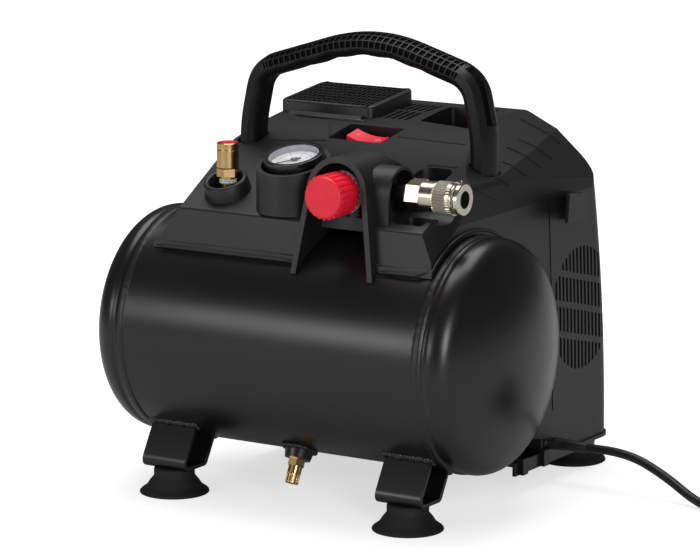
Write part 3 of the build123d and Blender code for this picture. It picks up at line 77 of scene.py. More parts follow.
def tank_round(side="left"):
    """Middle of one of the tank's ends, and the tank's outer radius."""
    low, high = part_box("tank_end_" + side)
    return (low + high) / 2, (high.z - low.z) / 2 - SEAM_WELD


def struck(node, start, toward, reach):
    """Where a line first meets a CAD node, and the surface's normal there, or None for each."""
    hit, place, normal, _ = NODES[node].ray_cast(start, toward, distance=reach)
    return (place, normal) if hit else (None, None)


def arc(centre, first, second, radius, degrees):
    """Places on a circle, at angles from its first axis towards its second."""
    return [centre + first * (radius * math.cos(a)) + second * (radius * math.sin(a))
            for a in map(math.radians, degrees)]


# ---------------------------------------------------------------- properties
def colour(name, value, description):
    return bpy.props.FloatVectorProperty(
        name=name, description=description, default=value, subtype="COLOR", size=3, min=0, max=1)


def length(name, value, description):
    return bpy.props.FloatProperty(
        name=name, description=description, default=value, min=0, unit="LENGTH", precision=5)


class CompressorColours(bpy.types.PropertyGroup):
    """Colours of the finishes, as linear values."""
    tank: colour("Tank paint", (0.0060, 0.0060, 0.0064), "Satin black paint of the tank and its brackets")
    cover: colour("Cover", (0.0085, 0.0085, 0.0088), "Moulded plastic of the cover")
    handle: colour("Handle", (0.0048, 0.0048, 0.0050), "Moulded plastic of the handle")
    rubber: colour("Rubber", (0.0062, 0.0062, 0.0063), "Feet and mounts")
    red: colour("Red plastic", (0.900, 0.011, 0.038), "Knob, rocker and relief valve's cap")
    brass: colour("Brass", (0.600, 0.410, 0.180), "Relief valve and drain cock")
    nickel: colour("Nickel", (0.660, 0.610, 0.510), "Warm nickel plate of the coupler")
    zinc: colour("Zinc plate", (0.560, 0.565, 0.580), "Screws and shaft")
    alloy: colour("Cast alloy", (0.520, 0.520, 0.530), "Pump and manifold castings")
    gloss_black: colour("Gauge black", (0.010, 0.010, 0.011), "Gauge case and bezel")
    dial: colour("Dial", (0.780, 0.780, 0.800), "Printed face of the gauge")
    print_black: colour("Print black", (0.015, 0.015, 0.017), "Dial's inner scale")
    print_red: colour("Print red", (0.560, 0.030, 0.035), "Dial's outer scale")
    cord: colour("Cord", (0.0060, 0.0060, 0.0062), "Sheath and plug of the supply cord")
    copper: colour("Copper", (0.650, 0.330, 0.200), "Delivery pipe")
    floor: colour("Floor", (0.820, 0.820, 0.820), "Floor that the compressor stands on")


class CompressorSizes(bpy.types.PropertyGroup):
    """Sizes that the looks take from the real object."""
    cord_length: length("Cord length", 1.8, "Supply cord from the housing to the plug")
    cord_diameter: length("Cord diameter", 0.0064, "Over the sheath")
    weld_radius: length("Weld radius", 0.0031, "Fillet weld of the brackets")
    print_height: length("Print height", 0.0022, "Figures on the gauge's inner scale")


# ---------------------------------------------------------------- shader maths
class Number:
    """A number that varies over a surface. Arithmetic on it adds Math nodes."""

    def __init__(self, nodes, socket):
        self.nodes, self.socket = nodes, socket

    def _math(self, operation, *values):
        return self.nodes.number("Math", {"operation": operation}, dict(enumerate(values)))

    def __add__(self, other):
        return self._math("ADD", self, other)

    __radd__ = __add__

    def __sub__(self, other):
        return self._math("SUBTRACT", self, other)

    def __rsub__(self, other):
        return self._math("SUBTRACT", other, self)

    def __mul__(self, other):
        return self._math("MULTIPLY", self, other)

    __rmul__ = __mul__

    def __truediv__(self, other):
        return self._math("DIVIDE", self, other)

    def __pow__(self, other):
        return self._math("POWER", self, other)

    def clamped(self):
        return self.nodes.number("Clamp", {}, {"Value": self})

    def sine(self):
        return self._math("SINE", self)

    def size(self):
        return self._math("ABSOLUTE", self)

    def above(self, edge, soft=0.0):
        """1 where the number is above the edge, with a ramp `soft` wide centred on it."""
        if not soft:
            return self._math("GREATER_THAN", self, edge)
        return ((self - (edge - soft / 2)) / soft).clamped()

    def angle_to(self, other):
        return self._math("ARCTAN2", self, other)


class Nodes:
    """A node tree that is being put together."""

    def __init__(self, tree):
        self.tree = tree
        tree.nodes.clear()

    def node(self, kind, settings=None, values=None):
        """Adds a node: its settings first, then the values or links of its sockets."""
        node = self.tree.nodes.new("ShaderNode" + kind)
        for name, value in (settings or {}).items():
            setattr(node, name, value)
        for name, value in (values or {}).items():
            socket = node.inputs[name]
            if isinstance(value, Number):
                value = value.socket
            if isinstance(value, bpy.types.NodeSocket):
                self.tree.links.new(value, socket)
            elif socket.type == "RGBA":
                socket.default_value = tuple(value) + (1.0,)
            else:
                socket.default_value = value
        return node

    def number(self, kind, settings=None, values=None):
        return Number(self, self.node(kind, settings, values).outputs[0])

    def rays(self, *kinds):
        """1 for rays of each kind, such as Camera, and 0 for the others."""
        path = self.node("LightPath")
        return [Number(self, path.outputs[f"Is {kind} Ray"]) for kind in kinds]


class Finish(Nodes):
    """A material that is being put together."""

    def __init__(self, name):
        self.material = bpy.data.materials.new(name)
        self.material.use_nodes = True
        super().__init__(self.material.node_tree)
        self.place = self.node("TexCoord").outputs["Object"]
        across = self.node("SeparateXYZ", {}, {"Vector": self.place})
        self.x, self.y, self.z = (Number(self, socket) for socket in across.outputs)

    def noise(self, scale, detail=2.0, roughness=0.5, place=None):
        return self.number("TexNoise", {}, {"Vector": place or self.place, "Scale": scale,
                                            "Detail": detail, "Roughness": roughness})

    def stretched(self, scale):
        """The object's own coordinates, scaled along each axis."""
        return self.node("Mapping", {}, {"Vector": self.place, "Scale": scale}).outputs[0]

    def mix(self, share, first, second):
        """Colour between two, each a colour or a socket."""
        return self.node("MixRGB", {}, {"Fac": share, "Color1": first, "Color2": second}).outputs[0]

    def bump(self, height, distance, strength=1.0, normal=None):
        values = {"Height": height, "Distance": distance, "Strength": strength}
        if normal:
            values["Normal"] = normal
        return self.node("Bump", {}, values).outputs[0]

    def around(self, centre):
        """Angle and radius about a line along X through `centre`."""
        up, out = self.z - centre.z, self.y - centre.y
        return up.angle_to(out), (up * up + out * out) ** 0.5

    def done(self, values):
        shader = self.node("BsdfPrincipled", {}, values)
        self.node("OutputMaterial", {}, {"Surface": shader.outputs[0]})
        return self.material


def shade(base, share):
    """A darker or paler version of a colour."""
    return tuple(min(1.0, part * share) for part in base)


# ---------------------------------------------------------------- finishes
def tank_paint(tint):
    """Satin paint over pressed steel: a fine orange peel, and a rippled weld at each seam."""
    paint = Finish("tank_paint")
    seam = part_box("tank_shell")[1].x
    weld_width = 0.006
    angle, _ = paint.around(middle("tank_end_left"))
    on_weld = 1 - (paint.x.size() - (seam + weld_width / 2)).size().above(weld_width / 2, 0.0015)
    ripple = (angle * 70 + paint.noise(60) * 9).sine() * 0.35 + paint.noise(300, 3) * 1.5
    peel = paint.noise(900, 2, 0.6)
    haze = paint.noise(14, 4)
    normal = paint.bump(peel, 0.00004, 0.35)
    normal = paint.bump(ripple * on_weld, 0.00022, 0.7, normal)
    return paint.done({
        "Base Color": paint.mix(haze, shade(tint, 0.85), shade(tint, 1.25)),
        "Roughness": 0.27 + 0.07 * haze + 0.10 * on_weld,
        "Normal": normal,
    })


def moulded(name, tint, grain, roughness, shine=0.5):
    """Plastic from a spark-textured mould, a little polished where hands and cloths have rubbed it."""
    plastic = Finish(name)
    texture = plastic.noise(grain, 3, 0.65)
    drift = plastic.noise(9, 3)
    return plastic.done({
        "Base Color": plastic.mix(texture, shade(tint, 0.80), shade(tint, 1.25)),
        "Roughness": roughness + 0.08 * drift - 0.05 * texture,
        "Specular IOR Level": shine,
        "Normal": plastic.bump(texture, 0.00007, 0.55),
    })


def rubber(name, tint):
    """Moulded rubber with a faint pale bloom."""
    finish = Finish(name)
    bloom = finish.noise(45, 5, 0.6)
    skin = finish.noise(1300, 2)
    return finish.done({
        "Base Color": finish.mix(bloom.above(0.52, 0.35) * 0.55, tint, shade(tint, 2.1)),
        "Roughness": 0.66 + 0.14 * bloom,
        "Normal": finish.bump(skin, 0.00006, 0.5),
    })


def turned_metal(name, tint, roughness, scratch=0.25, tarnish=0.25):
    """Bar metal off a lathe: fine tool lines and a little tarnish."""
    metal = Finish(name)
    fine = metal.noise(1.0, 3, 0.7, metal.stretched((5200, 900, 5200)))
    dull = metal.noise(160, 4, 0.6)
    return metal.done({
        "Base Color": metal.mix(dull.above(0.5, 0.5) * tarnish, tint, shade(tint, 0.55)),
        "Metallic": 1.0,
        "Roughness": roughness + 0.12 * dull,
        "Normal": metal.bump(fine, 0.00002, scratch),
    })


def nickel(tint):
    """Warm nickel plate, diamond-knurled on the coupler's sleeve, with painted shade in the knurl's grooves."""
    metal = Finish("nickel")
    low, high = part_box("coupler_sleeve")
    angle, radius = metal.around(middle("coupler_sleeve"))
    across, along = angle * 44, metal.x * 3900
    ridges = (across + along).sine().size() * (across - along).sine().size()
    plain_left, plain_right, knurl_r, fade = 0.0012, 0.0028, 0.0098, 0.0003
    band = metal.x.above(low.x + plain_left, fade) * (1 - metal.x.above(high.x - plain_right, fade))
    band = band * radius.above(knurl_r, 0.0002)
    dull = metal.noise(260, 4, 0.6)
    return metal.done({
        # darker in the knurl's grooves, painted shade, and in random patches of tarnish
        "Base Color": metal.mix((dull.above(0.5, 0.4) * 0.25 + (1 - ridges) * band * 0.9).clamped(), tint,
                                shade(tint, 0.50)),
        "Metallic": 1.0,
        "Roughness": 0.19 + 0.10 * dull + 0.22 * band,
        "Normal": metal.bump(ridges * band, 0.00018, 0.8),
    })


def cast_alloy(tint):
    metal = Finish("cast_alloy")
    sand = metal.noise(700, 4, 0.7)
    stain = metal.noise(30, 4)
    return metal.done({
        "Base Color": metal.mix(stain, shade(tint, 0.75), tint),
        "Metallic": 0.9,
        "Roughness": 0.45 + 0.15 * sand,
        "Normal": metal.bump(sand, 0.0002, 0.6),
    })


def mottled(name, colours, drift, skin, roughness, relief, coat=0.0):
    """Plain stuff whose colour and gloss drift a little.

    drift and skin are noises, each a scale, a detail and if need be a roughness, and without a skin the
    drift makes the relief. roughness is the least, and what the drift adds. relief is height and strength.
    """
    finish = Finish(name)
    flow = finish.noise(*drift)
    return finish.done({
        "Base Color": finish.mix(flow, *colours),
        "Roughness": roughness[0] + roughness[1] * flow,
        "Coat Weight": coat,
        "Coat Roughness": 0.12,
        "Normal": finish.bump(finish.noise(*skin) if skin else flow, *relief),
    })


def plain_plastic(name, tint, roughness, coat=0.0):
    return mottled(name, (shade(tint, 0.88), shade(tint, 1.10)), (90, 3), (1500, 2), (roughness, 0.06),
                   (0.00002, 0.3), coat)


def clear_lens():
    """Thin clear cover of the gauge, with a few fine scratches in its gloss."""
    lens = Finish("clear_lens")
    wear = lens.noise(500, 3)
    return lens.done({
        "Base Color": (0.92, 0.94, 0.97),
        "Roughness": 0.05 + 0.05 * wear,
        "Alpha": 0.05 + 0.02 * wear,
        "Specular IOR Level": 1.0,
    })


FINISHES = {}


def make_finishes():
    tints = bpy.context.scene.compressor_colours
    FINISHES.update({
        "tank_paint": tank_paint(tints.tank),
        "cover_plastic": moulded("cover_plastic", tints.cover, 1500, 0.44),
        "handle_plastic": moulded("handle_plastic", tints.handle, 1700, 0.40, 0.30),
        # darker plastic for the handle's pocket floors and leg channels: painted shade
        "handle_pocket_shade": moulded("handle_pocket_shade", shade(tints.handle, 0.35), 1700, 0.60, 0.08),
        # darker plastic: painted shade on the grille's pocket floors, and the dark line of the covers' parting
        # joint
        "cover_shade_and_joint": moulded("cover_shade_and_joint", shade(tints.cover, 0.30), 1500, 0.60, 0.08),
        "foot_rubber": rubber("foot_rubber", tints.rubber),
        "red_plastic": mottled("red_plastic", (shade(tints.red, 0.86), shade(tints.red, 1.10)), (120, 3),
                               (2200, 2), (0.36, 0.10), (0.00003, 0.4)),
        "brass": turned_metal("brass", tints.brass, 0.19),
        "nickel": nickel(tints.nickel),
        "zinc_steel": turned_metal("zinc_steel", tints.zinc, 0.32, tarnish=0.4),
        "gauge_black": plain_plastic("gauge_black", tints.gloss_black, 0.22, coat=0.4),
        "switch_black": plain_plastic("switch_black", shade(tints.gloss_black, 1.3), 0.40),
        "dial_white": plain_plastic("dial_white", tints.dial, 0.45),
        "dial_grey": plain_plastic("dial_grey", (0.36, 0.36, 0.43), 0.45),
        "white_plastic": plain_plastic("white_plastic", (0.66, 0.66, 0.68), 0.35),
        "clear_lens": clear_lens(),
        "cast_alloy": cast_alloy(tints.alloy),
        "motor_steel": turned_metal("motor_steel", shade(tints.zinc, 0.5), 0.40),
        "copper_pipe": turned_metal("copper_pipe", tints.copper, 0.30),
        "cord_black": mottled("cord_black", (shade(tints.cord, 0.85), shade(tints.cord, 1.4)), (320, 3),
                              None, (0.42, 0.12), (0.00008, 0.4)),
        "print_black": plain_plastic("print_black", tints.print_black, 0.5),
        "print_red": plain_plastic("print_red", tints.print_red, 0.5),
        "thread_seal": mottled("thread_seal", ((0.62, 0.62, 0.60), (0.80, 0.80, 0.78)), (900, 4, 0.7),
                               None, (0.6, 0.2), (0.0003, 0.7)),
    })


def paint_nodes(*names):
    """Gives CAD nodes the finish of their own slot."""
    for name in names:
        slots = NODES[name].data.materials
        slots.clear()
        slots.append(FINISHES[SLOT_OF[name]])


# ---------------------------------------------------------------- building pieces
def new_mesh(name, shape, finish, slot=None, body="compressor", flat=False):
    """Makes a bmesh a piece that rides on a body. Its slot argument is not used."""
    bmesh.ops.recalc_face_normals(shape, faces=shape.faces)
    mesh = bpy.data.meshes.new(name)
    shape.to_mesh(mesh)
    shape.free()
    for face in mesh.polygons:
        face.use_smooth = not flat
    mesh.materials.append(FINISHES[finish])
    piece = bpy.data.objects.new(name, mesh)
    bpy.context.scene.collection.objects.link(piece)
    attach(piece, body)
    return piece


def outline(places, closed=False):
    """A bmesh of one line through the places."""
    shape = bmesh.new()
    verts = [shape.verts.new(place) for place in places]
    for pair in zip(verts, verts[1:] + verts[:1] if closed else verts[1:]):
        shape.edges.new(pair)
    return shape


def sharpen(shape, angle=35):
    """Marks edges sharper than the angle, so that smooth shading stops there."""
    limit = math.radians(angle)
    for edge in shape.edges:
        if len(edge.link_faces) == 2 and edge.calc_face_angle(0.0) > limit:
            edge.smooth = False


def turned(name, section, centre, axis, steps, finish, edge=35, **options):
    """A piece turned about an axis. Its half section's places are out from the axis and along it."""
    out = UP if abs(axis.x) > 0.5 else RIGHT
    shape = outline([centre + out * r + axis * along for r, along in section])
    bmesh.ops.spin(shape, geom=shape.verts[:] + shape.edges[:], cent=centre, axis=axis,
                   angle=2 * math.pi, steps=steps, use_merge=True)
    bmesh.ops.remove_doubles(shape, verts=shape.verts, dist=1e-6)
    sharpen(shape, edge)
    return new_mesh(name, shape, finish, **options)


def millimetres(section):
    """A section given in millimetres, in metres."""
    return [(out / 1000, along / 1000) for out, along in section]


def facing(*axes):
    """The turn whose X, Y and Z point along the axes."""
    return Matrix(axes).transposed()


def add_box(shape, at, size, turn):
    """Adds a turned box to a bmesh."""
    place = Matrix.Translation(at) @ turn.to_4x4() @ Matrix.Diagonal((*size, 1.0))
    bmesh.ops.create_cube(shape, size=1.0, matrix=place)


def open_edges(shape):
    """Edges with a face on one side only."""
    return [edge for edge in shape.edges if len(edge.link_faces) == 1]


def draw_out(shape, edges, move):
    """Extrudes edges by a move. Returns the new vertices and the edges between them."""
    made = bmesh.ops.extrude_edge_only(shape, edges=edges)["geom"]
    verts = [part for part in made if isinstance(part, bmesh.types.BMVert)]
    bmesh.ops.translate(shape, verts=verts, vec=move)
    return verts, [part for part in made if isinstance(part, bmesh.types.BMEdge)
                   and all(vert in verts for vert in part.verts)]


def round_off(shape, edges, width, segments):
    """Bevels edges."""
    bmesh.ops.bevel(shape, geom=edges, offset=width, offset_type="OFFSET", segments=segments, profile=0.5,
                    affect="EDGES", material=-1)


def sink(shape, faces, rim, depth, even=False):
    """Sinks a pocket into each face, inside a rim, and gives its floor the piece's second finish, a darker
    plastic: painted shade.
    """
    for inset, rise in ((rim, 0.0), (0.0001, -depth)):
        bmesh.ops.inset_individual(shape, faces=faces, thickness=inset, depth=rise, use_even_offset=even)
    for face in faces:
        face.material_index = 1


def soften(piece, width, angle=30):
    """Rounds the edges of a piece that are sharper than the angle."""
    edges = piece.modifiers.new("edges", "BEVEL")
    edges.width, edges.segments, edges.limit_method = width, 2, "ANGLE"
    edges.angle_limit = math.radians(angle)


def add_rod(shape, places, radius, squash=1.0):
    """Adds a round rod through the places, with rounded ends."""
    sides, end_share = 12, 0.35
    rings = []
    last = len(places) - 1
    for i, place in enumerate(places):
        along = (places[min(i + 1, last)] - places[max(i - 1, 0)]).normalized()
        across = along.cross(UP).normalized()
        size = radius * (end_share if i in (0, last) else 1.0)
        ring = arc(place, across, across.cross(along) * squash, size, range(0, 360, 360 // sides))
        rings.append([shape.verts.new(at) for at in ring])
    for pair in zip(rings, rings[1:]):
        edges = [shape.edges.get(ends) or shape.edges.new(ends)
                 for ring in pair for ends in zip(ring, ring[1:] + ring[:1])]
        bmesh.ops.bridge_loops(shape, edges=edges)
    bmesh.ops.holes_fill(shape, edges=open_edges(shape), sides=sides)
    bmesh.ops.recalc_face_normals(shape, faces=shape.faces)


def weld_bead(shape, places, radius, seed):
    """Adds a lumpy run of weld along the places."""
    rng = Random(seed)
    for start, end in zip(places, places[1:]):
        run = Vector(end) - Vector(start)
        count = max(1, round(run.length / (radius * 0.75)))
        along = run.to_track_quat("Z", "Y").to_matrix().to_4x4()
        for step in range(count):
            at = Vector(start) + run * ((step + 0.5) / count)
            at += Vector([rng.uniform(-0.12, 0.12) * radius for _ in range(3)])
            size = radius * rng.uniform(0.72, 1.15)
            form = Matrix.Translation(at) @ along @ Matrix.Diagonal((size, size, radius * 1.05, 1.0))
            bmesh.ops.create_icosphere(shape, subdivisions=2, radius=1.0, matrix=form)


def print_text(shape, text, height, place):
    """Adds flat lettering to a bmesh, its middle at the place's origin, facing the place's Z."""
    curve = bpy.data.curves.new("print", "FONT")
    curve.body, curve.size = text, height
    curve.align_x, curve.align_y = "CENTER", "CENTER"
    holder = bpy.data.objects.new("print", curve)
    bpy.context.scene.collection.objects.link(holder)
    bpy.context.view_layer.update()
    mesh = bpy.data.meshes.new_from_object(holder)
    mesh.transform(place)
    shape.from_mesh(mesh)
    bpy.data.objects.remove(holder)
    bpy.data.curves.remove(curve)
    bpy.data.meshes.remove(mesh)


# ---------------------------------------------------------------- operators
class COMPRESSOR_OT_stage(bpy.types.Operator):
    """White floor, soft lamps and the camera."""
    bl_idname = "compressor.stage"
    bl_label = "Stage"

    CAMERA_AT = (1.30125, -2.09035, 0.6275)
    CAMERA_AXES = ((0.845434, 0.534077, -0.001480), (-0.101961, 0.164120, 0.981157),
                   (0.524256, -0.829353, 0.193208))
    LENS, SENSOR, CLIP = 182.514, 36.0, (0.1, 40.0)
    LAMPS = (  # name, place, aimed at, width, height, watts
        ("softbox_overhead", (-0.15, 0.22, 1.50), (0.0, 0.05, 0.15), 1.3, 1.1, 16.5),
        ("softbox_left", (-0.62, -1.42, 0.50), (0.0, 0.0, 0.12), 0.70, 0.34, 4.4),
        ("softbox_right", (1.25, -1.15, 0.60), (0.05, 0.0, 0.15), 0.40, 0.60, 9.0),
    )
    FLOOR_SIZE = 12.0
    FADE = 1.1                          # from this distance on the floor is plain white
    # close by the floor glows less: partly its real shadow showing, partly painted shade round the compressor
    NEAR, FAR = 0.62, 1.0               # the floor's own white to the camera, close by and far off
    # in reflections the floor close by is nearly dark: painted shade
    NEAR_GLOSS, FAR_GLOSS = 0.03, 0.33  # and the same in reflections
    WALL_GLOSS, WALL_LIGHT = 0.08, 0.25     # the studio's walls in reflections, and as light all round

    def execute(self, context):
        scene = context.scene
        camera = bpy.data.objects.new("camera", bpy.data.cameras.new("camera"))
        camera.data.lens, camera.data.sensor_width = self.LENS, self.SENSOR
        camera.data.clip_start, camera.data.clip_end = self.CLIP
        camera.matrix_world = Matrix.Translation(self.CAMERA_AT) @ facing(*self.CAMERA_AXES).to_4x4()
        scene.collection.objects.link(camera)
        scene.camera = camera
        scene.view_settings.view_transform = "Standard"
        self.floor(scene)
        self.world(scene)
        for name, place, aim, width, height, watts in self.LAMPS:
            lamp = bpy.data.objects.new(name, bpy.data.lights.new(name, "AREA"))
            lamp.data.shape, lamp.data.size, lamp.data.size_y = "RECTANGLE", width, height
            lamp.data.energy = watts
            turn = (Vector(aim) - Vector(place)).to_track_quat("-Z", "Y")
            lamp.matrix_world = Matrix.Translation(place) @ turn.to_matrix().to_4x4()
            scene.collection.objects.link(lamp)
        return {"FINISHED"}

    def floor(self, scene):
        """A white floor that keeps a soft shadow near the compressor, deepened by painted shade: close by it glows
        less.
        """
        finish = Finish("floor")
        seen, through, mirrored = finish.rays("Camera", "Transmission", "Glossy")
        away = ((finish.x * finish.x + finish.y * finish.y) ** 0.5 / self.FADE).clamped()
        # lower glow close by: painted shade round the compressor, to the camera and in reflections
        glow = ((seen + through) * (self.NEAR + (self.FAR - self.NEAR) * away)
                + mirrored * (self.NEAR_GLOSS + (self.FAR_GLOSS - self.NEAR_GLOSS) * away))
        tint = scene.compressor_colours.floor
        cloth = finish.node("BsdfDiffuse", {}, {"Color": shade(tint, 0.7)})
        light = finish.node("Emission", {}, {"Color": (1, 1, 1), "Strength": glow})
        both = finish.node("AddShader", {}, {0: cloth.outputs[0], 1: light.outputs[0]})
        finish.node("OutputMaterial", {}, {"Surface": both.outputs[0]})
        shape = bmesh.new()
        bmesh.ops.create_grid(shape, x_segments=1, y_segments=1, size=self.FLOOR_SIZE)
        mesh = bpy.data.meshes.new("floor")
        shape.to_mesh(mesh)
        shape.free()
        mesh.materials.append(finish.material)
        floor = bpy.data.objects.new("floor", mesh)
        scene.collection.objects.link(floor)

    def world(self, scene):
        """White walls to the camera and through glass, dim ones in reflections and for light all round."""
        scene.world = bpy.data.worlds.new("studio")
        scene.world.use_nodes = True
        walls = Nodes(scene.world.node_tree)
        seen, through, mirrored, spread = walls.rays("Camera", "Transmission", "Glossy", "Diffuse")
        strength = seen + through + mirrored * self.WALL_GLOSS + spread * self.WALL_LIGHT
        light = walls.node("Background", {}, {"Color": (1, 1, 1), "Strength": strength})
        walls.node("OutputWorld", {}, {"Surface": light.outputs[0]})


class COMPRESSOR_OT_cord(bpy.types.Operator):
    """Supply cord: out of its relief, down to the floor and into a coil, with its plug."""
    bl_idname = "compressor.cord"
    bl_label = "Supply cord"

    RUN = ((0.111, 0.0539, 0.0278), (0.134, 0.0539, 0.0278), (0.176, 0.0533, 0.0285),
           (0.206, 0.0509, 0.0172), (0.235, 0.0419, 0.0042), (0.2605, 0.0292, 0.0033))
    # from the coil round to the plug's sleeve, about the middle of the coil
    TO_PLUG = ((-0.0240, 0.0410, 0.0162), (-0.0420, 0.0380, 0.0156), (-0.0505, 0.0325, 0.0152),
               (-0.0560, 0.0245, 0.0160), (-0.0572, 0.0155, 0.0182), (-0.0540, 0.0072, 0.0212),
               (-0.0475, 0.0014, 0.0240), (-0.0400, 0.0000, 0.0250), (-0.0370, 0.0000, 0.0250))
    # turns, radius and height at the start, radius and height at the end
    LAYS = ((2.85, 0.0426, 0.0033, 0.0244, 0.0033), (0.35, 0.0244, 0.0033, 0.0246, 0.0098),
            (2.80, 0.0246, 0.0098, 0.0424, 0.0098), (0.35, 0.0424, 0.0098, 0.0424, 0.0163),
            (0.30, 0.0424, 0.0163, 0.0420, 0.0163))

    def execute(self, context):
        sizes = context.scene.compressor_sizes
        curve = bpy.data.curves.new("supply_cord", "CURVE")
        curve.dimensions = "3D"
        curve.bevel_depth, curve.bevel_resolution = sizes.cord_diameter / 2, 4
        curve.resolution_u = 8
        curve.use_fill_caps = True
        spline = curve.splines.new("NURBS")
        points = list(self.RUN) + self.coil()
        spline.points.add(len(points) - 1)
        for point, place in zip(spline.points, points):
            point.co = (*place, 1.0)
        spline.order_u = 3
        spline.use_endpoint_u = True
        curve.materials.append(FINISHES["cord_black"])
        cord = bpy.data.objects.new("supply_cord", curve)
        context.scene.collection.objects.link(cord)
        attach(cord, "compressor")
        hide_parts("power_cord", "power_cord_coil")
        paint_nodes("plug", "strain_relief")
        self.boot(sizes.cord_diameter / 2)
        return {"FINISHED"}

    def boot(self, cord_r):
        """Tapered relief over the cord where it leaves the housing."""
        start, length = Vector(self.RUN[0]) - RIGHT * 0.001, 0.034
        collar_r, neck_r, end_r, bore_r = 0.0058, 0.0047, cord_r + 0.0003, cord_r - 0.0002
        section = [(bore_r, 0), (collar_r, 0), (collar_r, 0.0020), (0.0052, 0.0026), (neck_r, 0.0034),
                   ((neck_r + end_r) / 2, length * 0.5), (end_r, length - 0.0006),
                   (end_r - 0.0004, length), (bore_r, length), (bore_r, 0)]
        turned("cord_boot", section, start, RIGHT, 40, "cord_black")

    def coil(self):
        """Points of the turns: in along the floor, out again on top, round once more, up to the plug."""
        centre = middle("power_cord_coil")
        rng, uneven = Random(7), 0.0002
        steps = 14                              # points for each turn
        angle = math.radians(226)               # where the cord comes in
        points = []
        for turns, radius, height, end_radius, end_height in self.LAYS:
            count = round(turns * steps)
            for step in range(count):
                share = step / count
                out = radius + (end_radius - radius) * share + rng.uniform(-uneven, uneven)
                up = height + (end_height - height) * share
                points.append((centre.x + out * math.cos(angle), centre.y + out * math.sin(angle), up))
                angle += 2 * math.pi / steps
        return points + [(centre.x + x, centre.y + y, z) for x, y, z in self.TO_PLUG]


